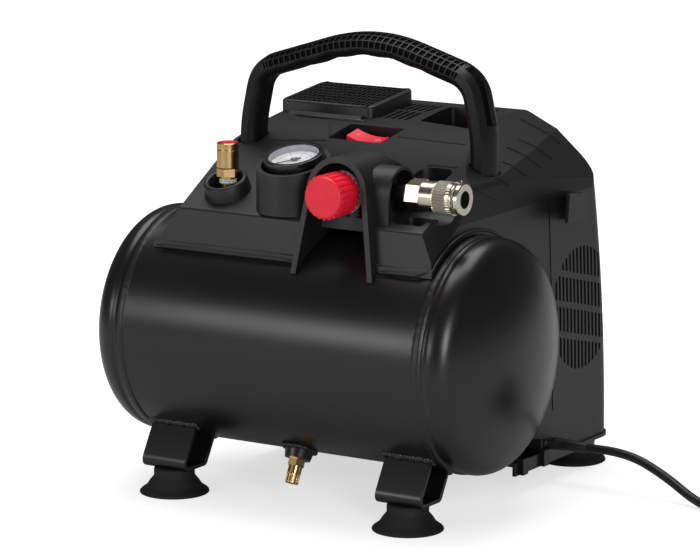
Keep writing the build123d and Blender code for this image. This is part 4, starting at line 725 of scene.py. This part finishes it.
class COMPRESSOR_OT_tank(bpy.types.Operator):
    """Paint of the tank and its brackets, and the welds between them."""
    bl_idname = "compressor.tank"
    bl_label = "Tank"

    WALL = 0.0015
    END_DEPTH = 0.0325
    KNUCKLE = 0.017
    BEAD_HALF = 0.003
    # groove between the end and its weld, along from the seam and down, in millimetres
    GROOVE = ((11.8, 0.0), (10.4, 0.3), (9.2, 0.7), (8.2, 0.9), (7.0, 0.6))
    # bracket's side view about the foot: front leg's top, front bend, rear bend, rear leg's top
    STRAP = ((0.0022, 0.0292), (-0.0168, -0.0030), (0.0146, -0.0030), (0.0262, 0.0166))
    STRAP_T = 0.003
    # spacer over a front foot, out and up from the strap's seat
    SPACER = ((0.0034, 0.0), (0.0072, 0.0), (0.0072, 0.003), (0.0034, 0.003), (0.0034, 0.0))
    # how much wider than the CAD strap it stands to the left, and the radii of its bends
    WIDER, FRONT_BEND, REAR_BEND = 0.0012, 0.0110, 0.0026
    BUNG_LEAN, BUNG_R = 26, 0.0112
    # runs along the tops of the legs: how far behind the foot, share of the weld's radius, seed
    LEG_WELDS = ((0.0006, 1.0, 3), (0.0262, 0.8, 8))
    SIDE_WELDS = (0.0034, 0.0225)       # where the short runs down the sides start, behind the foot

    def execute(self, context):
        paint_nodes("tank_shell", "motor_base", "motor_cradle")
        for side, sign in (("left", -1), ("right", 1)):
            self.end_cap(side, sign)
            self.bracket(side, context.scene.compressor_sizes.weld_radius)
        self.bung_weld()
        return {"FINISHED"}

    def end_cap(self, side, sign):
        """Pressed end: a straight skirt with a weld bead round its seam, a knuckle and a flatter crown."""
        node = "tank_end_" + side
        low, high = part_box(node)
        centre, radius = tank_round(side)
        shell_low, shell_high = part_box("tank_shell")
        seam, tip = (shell_high.x, high.x) if sign > 0 else (-shell_low.x, -low.x)
        rim = tip - self.END_DEPTH

        def dome(wall):
            """The crown and the knuckle, inside a wall, as places along the tank and out from its axis."""
            rim_r, deep, knuckle = radius - wall, self.END_DEPTH - wall, self.KNUCKLE - wall
            crown = (rim_r ** 2 + deep ** 2 - 2 * rim_r * knuckle) / (2 * (deep - knuckle))
            turn = math.atan2(rim_r - knuckle, crown - deep)
            crown_turns = [turn * i / 14 for i in range(14)]
            knuckle_turns = [turn + (math.pi / 2 - turn) * i / 8 for i in range(9)]
            return ([(rim + deep - crown + crown * math.cos(a), crown * math.sin(a)) for a in crown_turns]
                    + [(rim + knuckle * math.cos(a), rim_r - knuckle + knuckle * math.sin(a))
                       for a in knuckle_turns])

        bead = [(seam + self.BEAD_HALF * (1 + math.cos(a)), radius + SEAM_WELD * math.sin(a))
                for a in (i * math.pi / 8 for i in range(9))]
        groove = [(seam + along, radius - deep) for along, deep in millimetres(self.GROOVE)]
        line = dome(0.0) + groove + bead + [(seam, radius - self.WALL)] + dome(self.WALL)[::-1]
        centre.x = 0
        section = [(r, sign * x) for x, r in line]
        cap = turned("tank_cap_" + side, section, centre, RIGHT, 144, "tank_paint", edge=180)
        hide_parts(node)

    def bracket(self, side, weld):
        """Strap bent round the foot's seat, its legs welded to the tank."""
        node = "foot_bracket_" + side
        low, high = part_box(node)
        foot = middle("foot_front_" + side)
        low.x -= self.WIDER
        shape = outline([(low.x, foot.y + y, low.z + z) for y, z in self.STRAP])
        draw_out(shape, shape.edges[:], (high.x - low.x, 0, 0))
        bmesh.ops.recalc_face_normals(shape, faces=shape.faces)
        if min(shape.faces, key=lambda face: face.calc_center_median().z).normal.z > 0:
            bmesh.ops.reverse_faces(shape, faces=shape.faces)
        for sign, radius in ((-1, self.FRONT_BEND), (1, self.REAR_BEND)):
            bends = [edge for edge in shape.edges if len(edge.link_faces) == 2
                     and all((v.co.y - foot.y) * sign > 0 and v.co.z < low.z - 0.0025 for v in edge.verts)]
            round_off(shape, bends, radius, 7)
        bmesh.ops.solidify(shape, geom=shape.faces, thickness=self.STRAP_T)
        sharpen(shape)
        strap = new_mesh("bracket_" + side, shape, "tank_paint")
        soften(strap, 0.0004, 50)
        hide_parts(node)
        seat = Vector((foot.x, foot.y, low.z))
        turned("spacer_" + side, self.SPACER, seat, UP, 32, "zinc_steel", flat=True)
        self.bracket_welds(side, foot.y, low.x, high.x, weld)

    def bracket_welds(self, side, foot_y, x0, x1, weld):
        """A run along the top of each leg, and a short one down each of its sides."""
        tank, radius = tank_round()
        bead = bmesh.new()

        def under(y):
            return tank.z - (radius ** 2 - (y - tank.y) ** 2) ** 0.5

        past = 0.0006                           # how far each run goes on beyond the strap
        for back, share, seed in self.LEG_WELDS:
            y = foot_y + back
            z = under(y) + 0.0008
            weld_bead(bead, [(x0 - past, y, z), (x1 + past, y, z)], weld * share, seed + len(side))
        for x in (x0, x1):
            for y in (foot_y + back for back in self.SIDE_WELDS):
                weld_bead(bead, [(x, y, under(y)), (x, y + 0.003, under(y) - 0.0010)], weld * 0.6, 8)
        new_mesh("weld_bracket_" + side, bead, "tank_paint")

    def bung_weld(self):
        """Weld round the drain bung."""
        tank, radius = tank_round()
        lean = math.radians(self.BUNG_LEAN)
        out = Vector((0, -math.sin(lean), -math.cos(lean)))
        foot = Vector((middle("drain_valve").x, tank.y, tank.z)) + out * (radius + 0.0006)
        bead = bmesh.new()
        weld_bead(bead, arc(foot, RIGHT, RIGHT.cross(out), self.BUNG_R, range(0, 361, 20)), 0.0018, 5)
        new_mesh("weld_bung", bead, "tank_paint")


class COMPRESSOR_OT_covers(bpy.types.Operator):
    """Moulded cover, handle, hook and their screws."""
    bl_idname = "compressor.covers"
    bl_label = "Covers"

    # the handle's section, towards the back and out of the bar, in millimetres
    HANDLE_SECTION = ((0, 8), (5, 7.9), (9.8, 5.8), (11.43, 3.37), (12, 0.5), (12, -0.5), (11.43, -3.37),
                      (9.8, -5.8), (7.37, -7.43), (4.5, -8), (0, -8), (-4.5, -8), (-7.37, -7.43),
                      (-9.8, -5.8), (-11.43, -3.6), (-12, -2.0), (-11.2, 3.4), (-5.8, 6.6))
    CROWN = 0.120               # radius of the grip's arch
    SLOPE = 17.1                # of the grip beside its arch, in degrees
    ASIDE = 0.0065              # how far the arch stands to the right of the middle
    LEG, NECK, HALF_GRIP = 0.0344, 0.0141, 0.0413
    LEAN_R, ELBOW_R = 0.120, 0.022
    GRIP_END, HOLLOWS_END = 0.079, 0.058        # half lengths of the pockets and of the finger hollows
    POCKET_RIM, POCKET_DEPTH = 0.00042, 0.0013
    CHANNEL_RIM, CHANNEL_DEPTH, CHANNEL_FOOT = 0.0012, 0.0030, 0.262    # its foot is a height
    # the raised grille's left, right, front and back, its slope and the y at which it is LID_LIFT above
    # the roof, the depth of its skirt, its rounded corners and lip, and its columns and rows of pockets
    LID = (-0.1086, -0.0292, 0.0448, 0.1026)
    LID_SLOPE, LID_TOP_Y, LID_LIFT = 0.114, 0.0919, 0.0012
    LID_SKIRT, LID_CORNER, LID_LIP = 0.0170, 0.0062, 0.0018
    LID_CELLS, LID_MARGIN = (19, 8), (0.005, 0.004)
    CELL_RIM, CELL_DEPTH = 0.00055, 0.0010
    LEDGE_X, LEDGE_Y, LEDGE_R = (-0.0900, -0.0300), 0.0372, 0.0024
    # the bead's ends along the apron's front, then from where it turns down and where it meets the corner
    BEAD_FRONT, BEAD_SIDE, BEAD_R = (-0.1040, 0.0060), (0.0780, 0.1050), 0.0011
    # the parting line's top, how far apart its points are and how many, its width and thickness
    PARTING, PARTING_W, PARTING_T = (0.200, 0.0105, 15), 0.0007, 0.0002
    # raised lines moulded on the cover: the node, both ends in millimetres, width and height
    LINES = (
        ("rear_cover", (79.4, 66.0, 240.5), (99.1, 80.1, 226.0), 1.5, 0.9),
        ("rear_cover", (83.1, 42.0, 238.6), (103.7, 54.6, 224.2), 1.5, 0.9),
        ("front_cover", (94.6, 16.1, 233.0), (107.6, 25.5, 223.2), 1.5, 0.9),
        ("front_cover", (105.7, -14.0, 228.0), (110.6, -3.0, 220.7), 1.5, 0.9),
        ("front_cover", (109.6, -44.0, 222.5), (112.3, -17.7, 212.2), 1.2, 0.7),
        ("front_cover", (12.2, 12.3, 244.2), (69.3, 9.4, 243.7), 0.9, 0.5),
        ("front_cover", (60.2, -29.3, 234.2), (85.6, -29.0, 234.3), 0.8, 0.5),
        ("front_cover", (-33.6, -4.7, 240.6), (-51.5, 23.2, 246.3), 0.9, 0.5),
        ("front_cover", (-81.0, -15.7, 237.9), (-36.0, -6.0, 240.3), 0.9, 0.5),
        ("rear_cover", (61.1, 100.9, 249.6), (88.9, 110.2, 232.5), 4.0, 0.8),
    )

    def execute(self, context):
        paint_nodes("front_cover", "rear_cover", "cord_hook", "cover_screws", "handle_screws")
        self.handle()
        self.roof_grille()
        self.roof_ledge()
        self.apron_bead()
        self.hook_edges()
        self.parting_line()
        self.moulded_lines()
        return {"FINISHED"}

    def handle(self):
        """Bar drawn up the left leg, over the grip and down the right one, then pocketed."""
        low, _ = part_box("handle")
        centre = middle("handle")
        half_thick = 0.008
        at, heading = Vector((low.x + half_thick, centre.y, low.z)), 0.0
        shape = outline([at + Vector((-h, w, 0)) / 1000 for w, h in self.HANDLE_SECTION], closed=True)
        edges = shape.edges[:]
        slope, lean = math.radians(self.SLOPE), math.atan2(8.5, 39.0)
        elbow = math.pi / 2 - slope - lean
        rise = self.ASIDE * math.sin(slope)
        # each straight run's length and steps, and the turn, radius and parts of the bend after it
        for reach, steps, turn, radius, parts in (
                (self.LEG - rise, 3, lean, self.LEAN_R, 4), (self.NECK, 2, elbow, self.ELBOW_R, 10),
                (self.HALF_GRIP + self.ASIDE, 10, 2 * slope, self.CROWN, 15),
                (self.HALF_GRIP - self.ASIDE, 7, elbow, self.ELBOW_R, 10),
                (self.NECK, 2, lean, self.LEAN_R, 4), (self.LEG + rise, 4, 0, 0, 0)):
            ahead = Vector((math.sin(heading), 0, math.cos(heading)))
            for _ in range(steps):
                _, edges = draw_out(shape, edges, ahead * (reach / steps))
                at = at + ahead * (reach / steps)
            if not turn:
                break
            pivot = at + Vector((math.cos(heading), 0, -math.sin(heading))) * radius
            made = bmesh.ops.spin(shape, geom=edges, cent=pivot, axis=BACK, angle=turn, steps=parts,
                                  use_merge=False)["geom_last"]
            edges = [part for part in made if isinstance(part, bmesh.types.BMEdge)]
            at = pivot + Matrix.Rotation(turn, 3, "Y") @ (at - pivot)
            heading += turn
        bmesh.ops.remove_doubles(shape, verts=shape.verts, dist=1e-6)
        bmesh.ops.holes_fill(shape, edges=open_edges(shape), sides=40)
        bmesh.ops.recalc_face_normals(shape, faces=shape.faces)
        hollow, spacing, fade = 0.0005, 0.0245, 0.01
        for vert in shape.verts:                # hollows for the fingers under the grip
            out = vert.co.x - centre.x
            if abs(out) < self.HOLLOWS_END and vert.normal.z < -0.3:
                vert.co.z += (hollow * math.cos(out / spacing * 2 * math.pi)
                              * min(1, (self.HOLLOWS_END - abs(out)) / fade))
        grip, outer = [], []                    # faces of the pockets, and of the channel down each leg
        for face in shape.faces:
            place, normal = face.calc_center_median(), face.normal
            side = math.copysign(1, place.x - centre.x)
            on_top = normal.z > 0.75 and normal.y < 0.3
            on_front = normal.y < -0.85 and normal.z > 0.08
            if abs(place.x - centre.x) < self.GRIP_END and len(face.verts) == 4 and (on_top or on_front):
                grip.append(face)
            elif normal.x * side > 0.45 and abs(normal.y) < 0.32 and place.z > self.CHANNEL_FOOT:
                outer.append(face)
        sink(shape, grip, self.POCKET_RIM, self.POCKET_DEPTH, even=True)
        bmesh.ops.inset_region(shape, faces=outer, thickness=self.CHANNEL_RIM, depth=-self.CHANNEL_DEPTH,
                               use_even_offset=True)
        # the channel's floor takes the darker plastic: painted shade
        for face in outer:
            face.material_index = 1
        sharpen(shape, 28)
        bar = new_mesh("carrying_handle", shape, "handle_plastic")
        # second finish, the darker plastic: painted shade in the pockets and channels
        bar.data.materials.append(FINISHES["handle_pocket_shade"])
        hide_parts("handle")

    def roof_grille(self):
        """Raised grille on the roof, a moulded lid with rows of square pockets."""
        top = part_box("rear_cover")[1].z
        x0, x1, y0, y1 = self.LID
        shape = bmesh.new()
        columns, rows = self.LID_CELLS
        bmesh.ops.create_grid(shape, x_segments=columns, y_segments=rows, size=1.0)
        for vert in shape.verts:
            y = y0 + (y1 - y0) * (vert.co.y + 1) / 2
            vert.co = (x0 + (x1 - x0) * (vert.co.x + 1) / 2, y,
                       top + self.LID_LIFT - (self.LID_TOP_Y - y) * self.LID_SLOPE)
        skirt, _ = draw_out(shape, open_edges(shape), (0, 0, 0))
        for vert in skirt:
            vert.co.z = top - self.LID_SKIRT
        bmesh.ops.recalc_face_normals(shape, faces=shape.faces)
        corners = [edge for edge in shape.edges if edge.calc_face_angle(0.0) > 1.2
                   and abs(edge.verts[0].co.z - edge.verts[1].co.z) > 0.003]
        round_off(shape, corners, self.LID_CORNER, 5)
        lip = [edge for edge in shape.edges if len(edge.link_faces) == 2
               and sum(abs(face.normal.z) > 0.9 for face in edge.link_faces) == 1
               and all(vert.co.z > top - 0.0095 for vert in edge.verts)]
        round_off(shape, lip, self.LID_LIP, 3)
        side, front = self.LID_MARGIN
        pockets = [face for face in shape.faces if face.normal.z > 0.9 and len(face.verts) == 4
                   and x0 + side < face.calc_center_median().x < x1 - side
                   and y0 + front < face.calc_center_median().y < y1 - front]
        sink(shape, pockets, self.CELL_RIM, self.CELL_DEPTH)
        sharpen(shape, 30)
        lid = new_mesh("roof_grille", shape, "cover_plastic")
        # second finish, the darker plastic: painted shade in the pockets
        lid.data.materials.append(FINISHES["cover_shade_and_joint"])

    def roof_ledge(self):
        """Rounded ledge on the deck before the raised grille."""
        ends = []
        for x in self.LEDGE_X:
            places = [struck(cover, (x, self.LEDGE_Y, 0.30), -UP, 0.2)[0]
                      for cover in ("front_cover", "rear_cover")]
            ends.append(max((place for place in places if place is not None), key=lambda place: place.z))
        shape = bmesh.new()
        add_rod(shape, [ends[0].lerp(ends[1], i / 8) for i in range(9)], self.LEDGE_R, squash=0.8)
        new_mesh("roof_ledge", shape, "cover_plastic")

    def apron_bead(self):
        """Rolled bead along the apron's lower edge and round the tank's right end."""
        tank, radius = tank_round()

        def off_tank(x, angle, rise):
            """The place at an angle off the vertical about the tank's axis, and above its shell."""
            out = radius + rise
            return Vector((x, tank.y - out * math.sin(angle), tank.z + out * math.cos(angle)))

        def edge_angle(x):
            """The angle at which the apron ends."""
            off, on = math.radians(100), math.radians(40)
            for _ in range(14):
                angle = (off + on) / 2
                inward = Vector((0, math.sin(angle), -math.cos(angle)))
                place, _ = struck("front_cover", off_tank(x, angle, 0.040), inward, 0.0392)
                off, on = (angle, on) if place is None else (off, angle)
            return on

        def on_apron(ends, steps):
            places = [ends[0] + (ends[1] - ends[0]) * i / steps for i in range(steps + 1)]
            return [off_tank(x, edge_angle(x), 0.0030) for x in places]

        shape = bmesh.new()
        add_rod(shape, on_apron(self.BEAD_FRONT, 28), self.BEAD_R)
        run = on_apron(self.BEAD_SIDE, 7)
        start = edge_angle(self.BEAD_SIDE[1])
        for i in range(1, 30):              # up and back round the tank's end, to where the cover stops
            beside = off_tank(0.2, start - i * math.radians(3.4), 0.0036)
            place, _ = struck("front_cover", beside, -RIGHT, 0.12)
            if place is None:
                break
            run.append(place)
        add_rod(shape, run, self.BEAD_R)
        new_mesh("apron_bead", shape, "cover_plastic")

    def hook_edges(self):
        """Rounded edges of the hook's outer plate."""
        low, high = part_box("cord_hook")
        shape, inside = bmesh.new(), 0.0004
        y0, y1, z0, z1 = low.y + inside, high.y - inside, low.z + inside, high.z - inside
        corners = [Vector((high.x - inside, y, z)) for y, z in ((y0, z0), (y0, z1), (y1, z1), (y1, z0))]
        for first, last in zip(corners, corners[1:]):
            add_rod(shape, [first.lerp(last, i / 4) for i in range(5)], 0.00045)
        new_mesh("hook_edges", shape, "cover_plastic")

    def parting_line(self):
        """Dark line down the right wall where the two covers part."""
        shape = bmesh.new()
        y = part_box("front_cover")[1].y + 0.0004
        top, step, count = self.PARTING
        places = [struck("rear_cover", (0.2, y, top - step * i), -RIGHT, 0.12)[0] for i in range(count)]
        places = [place for place in places if place is not None]
        for first, last in zip(places, places[1:]):
            run = last - first
            add_box(shape, (first + last) / 2, (self.PARTING_T, self.PARTING_W, run.length),
                    run.to_track_quat("Z", "Y").to_matrix())
        new_mesh("parting_line", shape, "cover_shade_and_joint", slot="cover_plastic", flat=True)

    def moulded_lines(self):
        """The lines, laid along the surface in short straight bits."""
        shape = bmesh.new()
        for node, start, end, width, height in self.LINES:
            start, end = Vector(start) / 1000, Vector(end) / 1000
            steps = max(2, round((end - start).length / 0.004))
            places = []
            for step in range(steps + 1):
                at = start.lerp(end, step / steps)          # the side wall is met from the side too
                over_side = at.x > (0.09 if node == "front_cover" else 0.078)
                outward = Vector((0.45 if over_side else 0, -0.1, 1)).normalized()
                place, normal = struck(node, at + outward * 0.012, -outward, 0.03)
                if place is not None:
                    places.append((place, normal))
            for (first, up), (last, _) in zip(places, places[1:]):
                along = (last - first).normalized()
                across = up.cross(along).normalized()
                add_box(shape, (first + last) / 2,
                        ((last - first).length * 1.04, width / 1000, height / 500),
                        facing(along, across, along.cross(across)))
        round_off(shape, shape.edges[:], 0.0002, 1)
        new_mesh("moulded_lines", shape, "cover_plastic", flat=True)


class COMPRESSOR_OT_feet(bpy.types.Operator):
    """Rubber feet and their bolts."""
    bl_idname = "compressor.feet"
    bl_label = "Feet"

    # half of the section, out from the axis and up from the top, in millimetres; its height is scaled
    # from SECTION_HEIGHT to how far each foot's top is above the floor, in metres
    SECTION = ((3.3, 0.0), (13.2, 0.0), (14.0, -0.4), (14.4, -1.2), (14.4, -5.6), (14.8, -6.6),
               (17.2, -9.4), (18.6, -11.6), (19.7, -13.2), (21.6, -14.6), (23.6, -16.0), (24.4, -16.9),
               (24.5, -17.6), (24.1, -18.0), (22.4, -18.0), (17.0, -15.6), (12.2, -11.0), (9.5, -10.0),
               (9.5, -7.0), (3.3, -7.0), (3.3, 0.0))
    SECTION_HEIGHT = 18.0
    TOP = {"front": 0.018, "rear": 0.021}

    def execute(self, context):
        paint_nodes("foot_bolts")
        for node in [name for name in NODES if name.startswith(("foot_front", "foot_rear"))]:
            centre = middle(node)
            centre.z = 0
            top = self.TOP[node.split("_")[1]]
            section = [(out / 1000, top * (1 + up / self.SECTION_HEIGHT)) for out, up in self.SECTION]
            cup = turned(node.replace("foot_", "cup_"), section, centre, UP, 72, "foot_rubber", edge=50)
            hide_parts(node)
        return {"FINISHED"}


class COMPRESSOR_OT_gauge(bpy.types.Operator):
    """Pressure gauge with its printed dial and pointer."""
    bl_idname = "compressor.gauge"
    bl_label = "Gauge"

    # each scale: piece, finish, highest figure, steps of the figures and of the marks, radius of its arc,
    # length of a long mark, radius of the figures and their share of the print's height
    SCALES = (("scale_inner", "print_black", 12, 2, 1, 0.0122, 0.0018, 0.0088, 1.0),
              ("scale_outer", "print_red", 180, 30, 10, 0.0168, 0.0013, 0.0144, 0.72))
    # widths of the long and the short marks, thickness of the print, a short mark's share of a long one
    LONG_W, SHORT_W, PRINT_T, SHORT_SHARE = 0.00032, 0.0002, 0.00006, 0.55
    ARC_BITS = 60
    WALL_R, WALL_T, LENS_DEPTH = 0.0174, 0.0005, 0.0040

    def execute(self, context):
        paint_nodes("gauge_case", "gauge_bezel", "gauge_dial", "gauge_lens", "gauge_pointer")
        needle = JOINT["gauge_needle"]
        out = -Vector(needle["axis"]).normalized()
        up = out.cross(RIGHT)
        centre = Vector(needle["pos_m"])
        face, _ = struck("gauge_dial", centre + up * 0.012 + out * 0.02, -out, 0.05)
        centre += out * ((face - centre).dot(out) + 0.00008)
        section = ((0.0, -0.0002), (0.0, self.LENS_DEPTH), (self.WALL_T, self.LENS_DEPTH),
                   (self.WALL_T, -0.0002), (0.0, -0.0002))
        turned("dial_wall", [(self.WALL_R - inset, rise) for inset, rise in section], centre, out, 96,
               "dial_grey", slot="dial_white")
        flat = facing(RIGHT, up, out).to_4x4()
        full = math.radians(needle["range_deg"][1])
        height = context.scene.compressor_sizes.print_height
        for name, finish, top, step, minor, radius, tick, figure_r, share in self.SCALES:
            shape = bmesh.new()
            marks = round(top / minor)
            for mark in range(marks + 1):
                angle = full / 2 - full * mark / marks
                toward = up * math.cos(angle) - RIGHT * math.sin(angle)
                major = mark * minor % step == 0
                long = tick if major else tick * self.SHORT_SHARE
                add_box(shape, centre + toward * (radius - long / 2),
                        (long, self.LONG_W if major else self.SHORT_W, self.PRINT_T),
                        facing(toward, out.cross(toward), out))
                if major:
                    place = Matrix.Translation(centre + toward * figure_r) @ flat
                    print_text(shape, str(mark * minor), height * share, place)
            for bit in range(self.ARC_BITS):                # each a little longer than its share
                angle = full / 2 - full * (bit + 0.5) / self.ARC_BITS
                toward = up * math.cos(angle) - RIGHT * math.sin(angle)
                add_box(shape, centre + toward * radius,
                        (full * radius / (self.ARC_BITS - 2), self.SHORT_W, self.PRINT_T),
                        facing(out.cross(toward), toward, out))
            new_mesh(name, shape, finish, slot="dial_white", flat=True)
        return {"FINISHED"}


class COMPRESSOR_OT_controls(bpy.types.Operator):
    """Regulator knob, switch, relief valve, coupler and drain cock."""
    bl_idname = "compressor.controls"
    bl_label = "Controls"

    # half sections of the relief valve, out from its axis and up from its top, and of the deck's ring
    # round it, out and up from the deck, in millimetres
    RELIEF_CAP = ((6.1, -0.4), (6.5, 0.0), (7.3, 0.0), (7.8, -0.5), (7.8, -4.6), (7.5, -4.9), (7.8, -5.2),
                  (7.8, -17.2), (7.3, -17.8), (6.1, -17.8), (6.1, -0.4))
    RELIEF_FOOT = ((0.001, -24.2), (6.2, -24.2), (6.2, -25.0), (5.0, -25.4), (5.0, -41.5), (0.001, -41.5))
    GUARD = ((11.6, 2.0), (11.6, 9.2), (12.2, 10.2), (13.6, 10.6), (14.8, 10.2), (15.6, 9.0), (16.1, 3.0),
             (16.6, -0.6), (11.6, -0.6), (11.6, 2.0))
    # hexagon: radius over its corners, height, how far down its foot is, turn in degrees, wall
    HEXAGON = (0.0080, 0.0062, 0.0240, 12, 0.0008)
    PASTE_R, PASTE_THICK = 0.0053, 0.0009
    CLIP_R, CLIP_WIRE = 0.0092, 0.00035
    MARKS = (("mark_on", "I", 0.20), ("mark_off", "O", 0.78))       # the last is the share of the rocker
    MARK_HEIGHT = 0.0052

    def execute(self, context):
        paint_nodes("regulator_knob", "regulator_nut", "regulator_body", "regulator_stem", "switch_body",
                    "switch_rocker", "safety_valve_pull", "coupler_body", "coupler_sleeve", "drain_valve",
                    "drain_screw")
        self.relief_valve()
        self.clip()
        self.marks()
        self.guard_ring()
        return {"FINISHED"}

    def relief_valve(self):
        """Turned cap over a hexagon and a threaded foot with dry sealing paste on it."""
        low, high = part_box("safety_valve_body")
        top = Vector(((low.x + high.x) / 2, (low.y + high.y) / 2, high.z))
        cap = turned("relief_cap", millimetres(self.RELIEF_CAP), top, UP, 64, "brass")
        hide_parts("safety_valve_body")
        nut = bmesh.new()
        radius, height, down, turn, wall = self.HEXAGON
        bmesh.ops.create_circle(nut, segments=6, radius=radius,
                                matrix=Matrix.Translation(top - UP * down)
                                @ Matrix.Rotation(math.radians(turn), 4, "Z"))
        draw_out(nut, nut.edges[:], UP * height)
        bmesh.ops.recalc_face_normals(nut, faces=nut.faces)
        if sum(face.normal.dot(face.calc_center_median() - top) for face in nut.faces) < 0:
            bmesh.ops.reverse_faces(nut, faces=nut.faces)
        bmesh.ops.solidify(nut, geom=nut.faces[:], thickness=wall)
        soften(new_mesh("relief_hexagon", nut, "brass", flat=True), 0.0003)
        turned("relief_foot", millimetres(self.RELIEF_FOOT), top, UP, 64, "brass")
        paste = bmesh.new()
        for level, seed in ((0.0260, 2), (0.0276, 6)):
            ring = arc(top - UP * level, RIGHT, BACK, self.PASTE_R, range(0, 361, 20))
            weld_bead(paste, ring, self.PASTE_THICK, seed)
        new_mesh("relief_paste", paste, "thread_seal", slot="white_plastic")

    def guard_ring(self):
        """Raised ring of the deck round the relief valve."""
        valve = middle("safety_valve_body")
        beside, normal = struck("front_cover", (valve.x - 0.0200, valve.y, 0.30), -UP, 0.2)
        axis = Vector((0, normal.y, normal.z)).normalized()
        centre = Vector((valve.x, valve.y, beside.z))
        turned("guard_ring", millimetres(self.GUARD), centre, axis, 72, "cover_plastic", edge=50)

    def clip(self):
        """Wire clip in the coupler's groove, one end standing out."""
        centre = middle("coupler_body")
        at = Vector((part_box("coupler_sleeve")[1].x + 0.0018, centre.y, centre.z))
        shape = bmesh.new()
        end_out = at + Vector((0.0022, 0.0010, 0.0128))
        line = [end_out] + arc(at, BACK, UP, self.CLIP_R, range(75, 400, 12))
        for start, end in zip(line, line[1:]):
            run = end - start
            turn = run.to_track_quat("Z", "Y").to_matrix().to_4x4()
            bmesh.ops.create_cone(shape, cap_ends=True, segments=8, radius1=self.CLIP_WIRE,
                                  radius2=self.CLIP_WIRE, depth=run.length * 1.05,
                                  matrix=Matrix.Translation((start + end) / 2) @ turn)
        new_mesh("coupler_clip", shape, "nickel")

    def marks(self):
        """On and off marks printed on the rocker."""
        low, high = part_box("switch_rocker")
        for name, text, share in self.MARKS:
            above = Vector((low.x + (high.x - low.x) * share, (low.y + high.y) / 2, high.z + 0.01))
            place, normal = struck("switch_rocker", above, -UP, 0.05)
            right = (RIGHT - normal * normal.x).normalized()
            turn = facing(right, normal.cross(right), normal).to_4x4()
            shape = bmesh.new()
            print_text(shape, text, self.MARK_HEIGHT, Matrix.Translation(place + normal * 0.0001) @ turn)
            new_mesh(name, shape, "white_plastic", slot="red_plastic", body="rocker", flat=True)


class COMPRESSOR_OT_machinery(bpy.types.Operator):
    """Motor, pump and air fittings under the cover."""
    bl_idname = "compressor.machinery"
    bl_label = "Machinery"

    def execute(self, context):
        paint_nodes(*(name for name, node in NODES.items() if not node.data.materials
                      or node.data.materials[0].name not in FINISHES))
        return {"FINISHED"}


class COMPRESSOR_PT_panel(bpy.types.Panel):
    """Lists the pieces in the sidebar."""
    bl_idname = "COMPRESSOR_PT_panel"
    bl_label = "Compressor"
    bl_space_type = "VIEW_3D"
    bl_region_type = "UI"
    bl_category = "Compressor"

    def draw(self, context):
        column = self.layout.column()
        for operator in OPERATORS:
            column.operator(operator.bl_idname)
        for group in (context.scene.compressor_sizes, context.scene.compressor_colours):
            for name in group.__annotations__:
                column.prop(group, name)


OPERATORS = (COMPRESSOR_OT_stage, COMPRESSOR_OT_cord, COMPRESSOR_OT_tank, COMPRESSOR_OT_covers,
             COMPRESSOR_OT_feet, COMPRESSOR_OT_gauge, COMPRESSOR_OT_controls, COMPRESSOR_OT_machinery)
CLASSES = (CompressorColours, CompressorSizes) + OPERATORS + (COMPRESSOR_PT_panel,)


def register():
    for cls in CLASSES:
        bpy.utils.register_class(cls)
    bpy.types.Scene.compressor_colours = bpy.props.PointerProperty(type=CompressorColours)
    bpy.types.Scene.compressor_sizes = bpy.props.PointerProperty(type=CompressorSizes)


def unregister():
    del bpy.types.Scene.compressor_sizes
    del bpy.types.Scene.compressor_colours
    for cls in reversed(CLASSES):
        bpy.utils.unregister_class(cls)


def main():
    register()
    make_finishes()
    for operator in OPERATORS:
        group, name = operator.bl_idname.split(".")
        getattr(getattr(bpy.ops, group), name)()


if __name__ == "__main__":
    main()
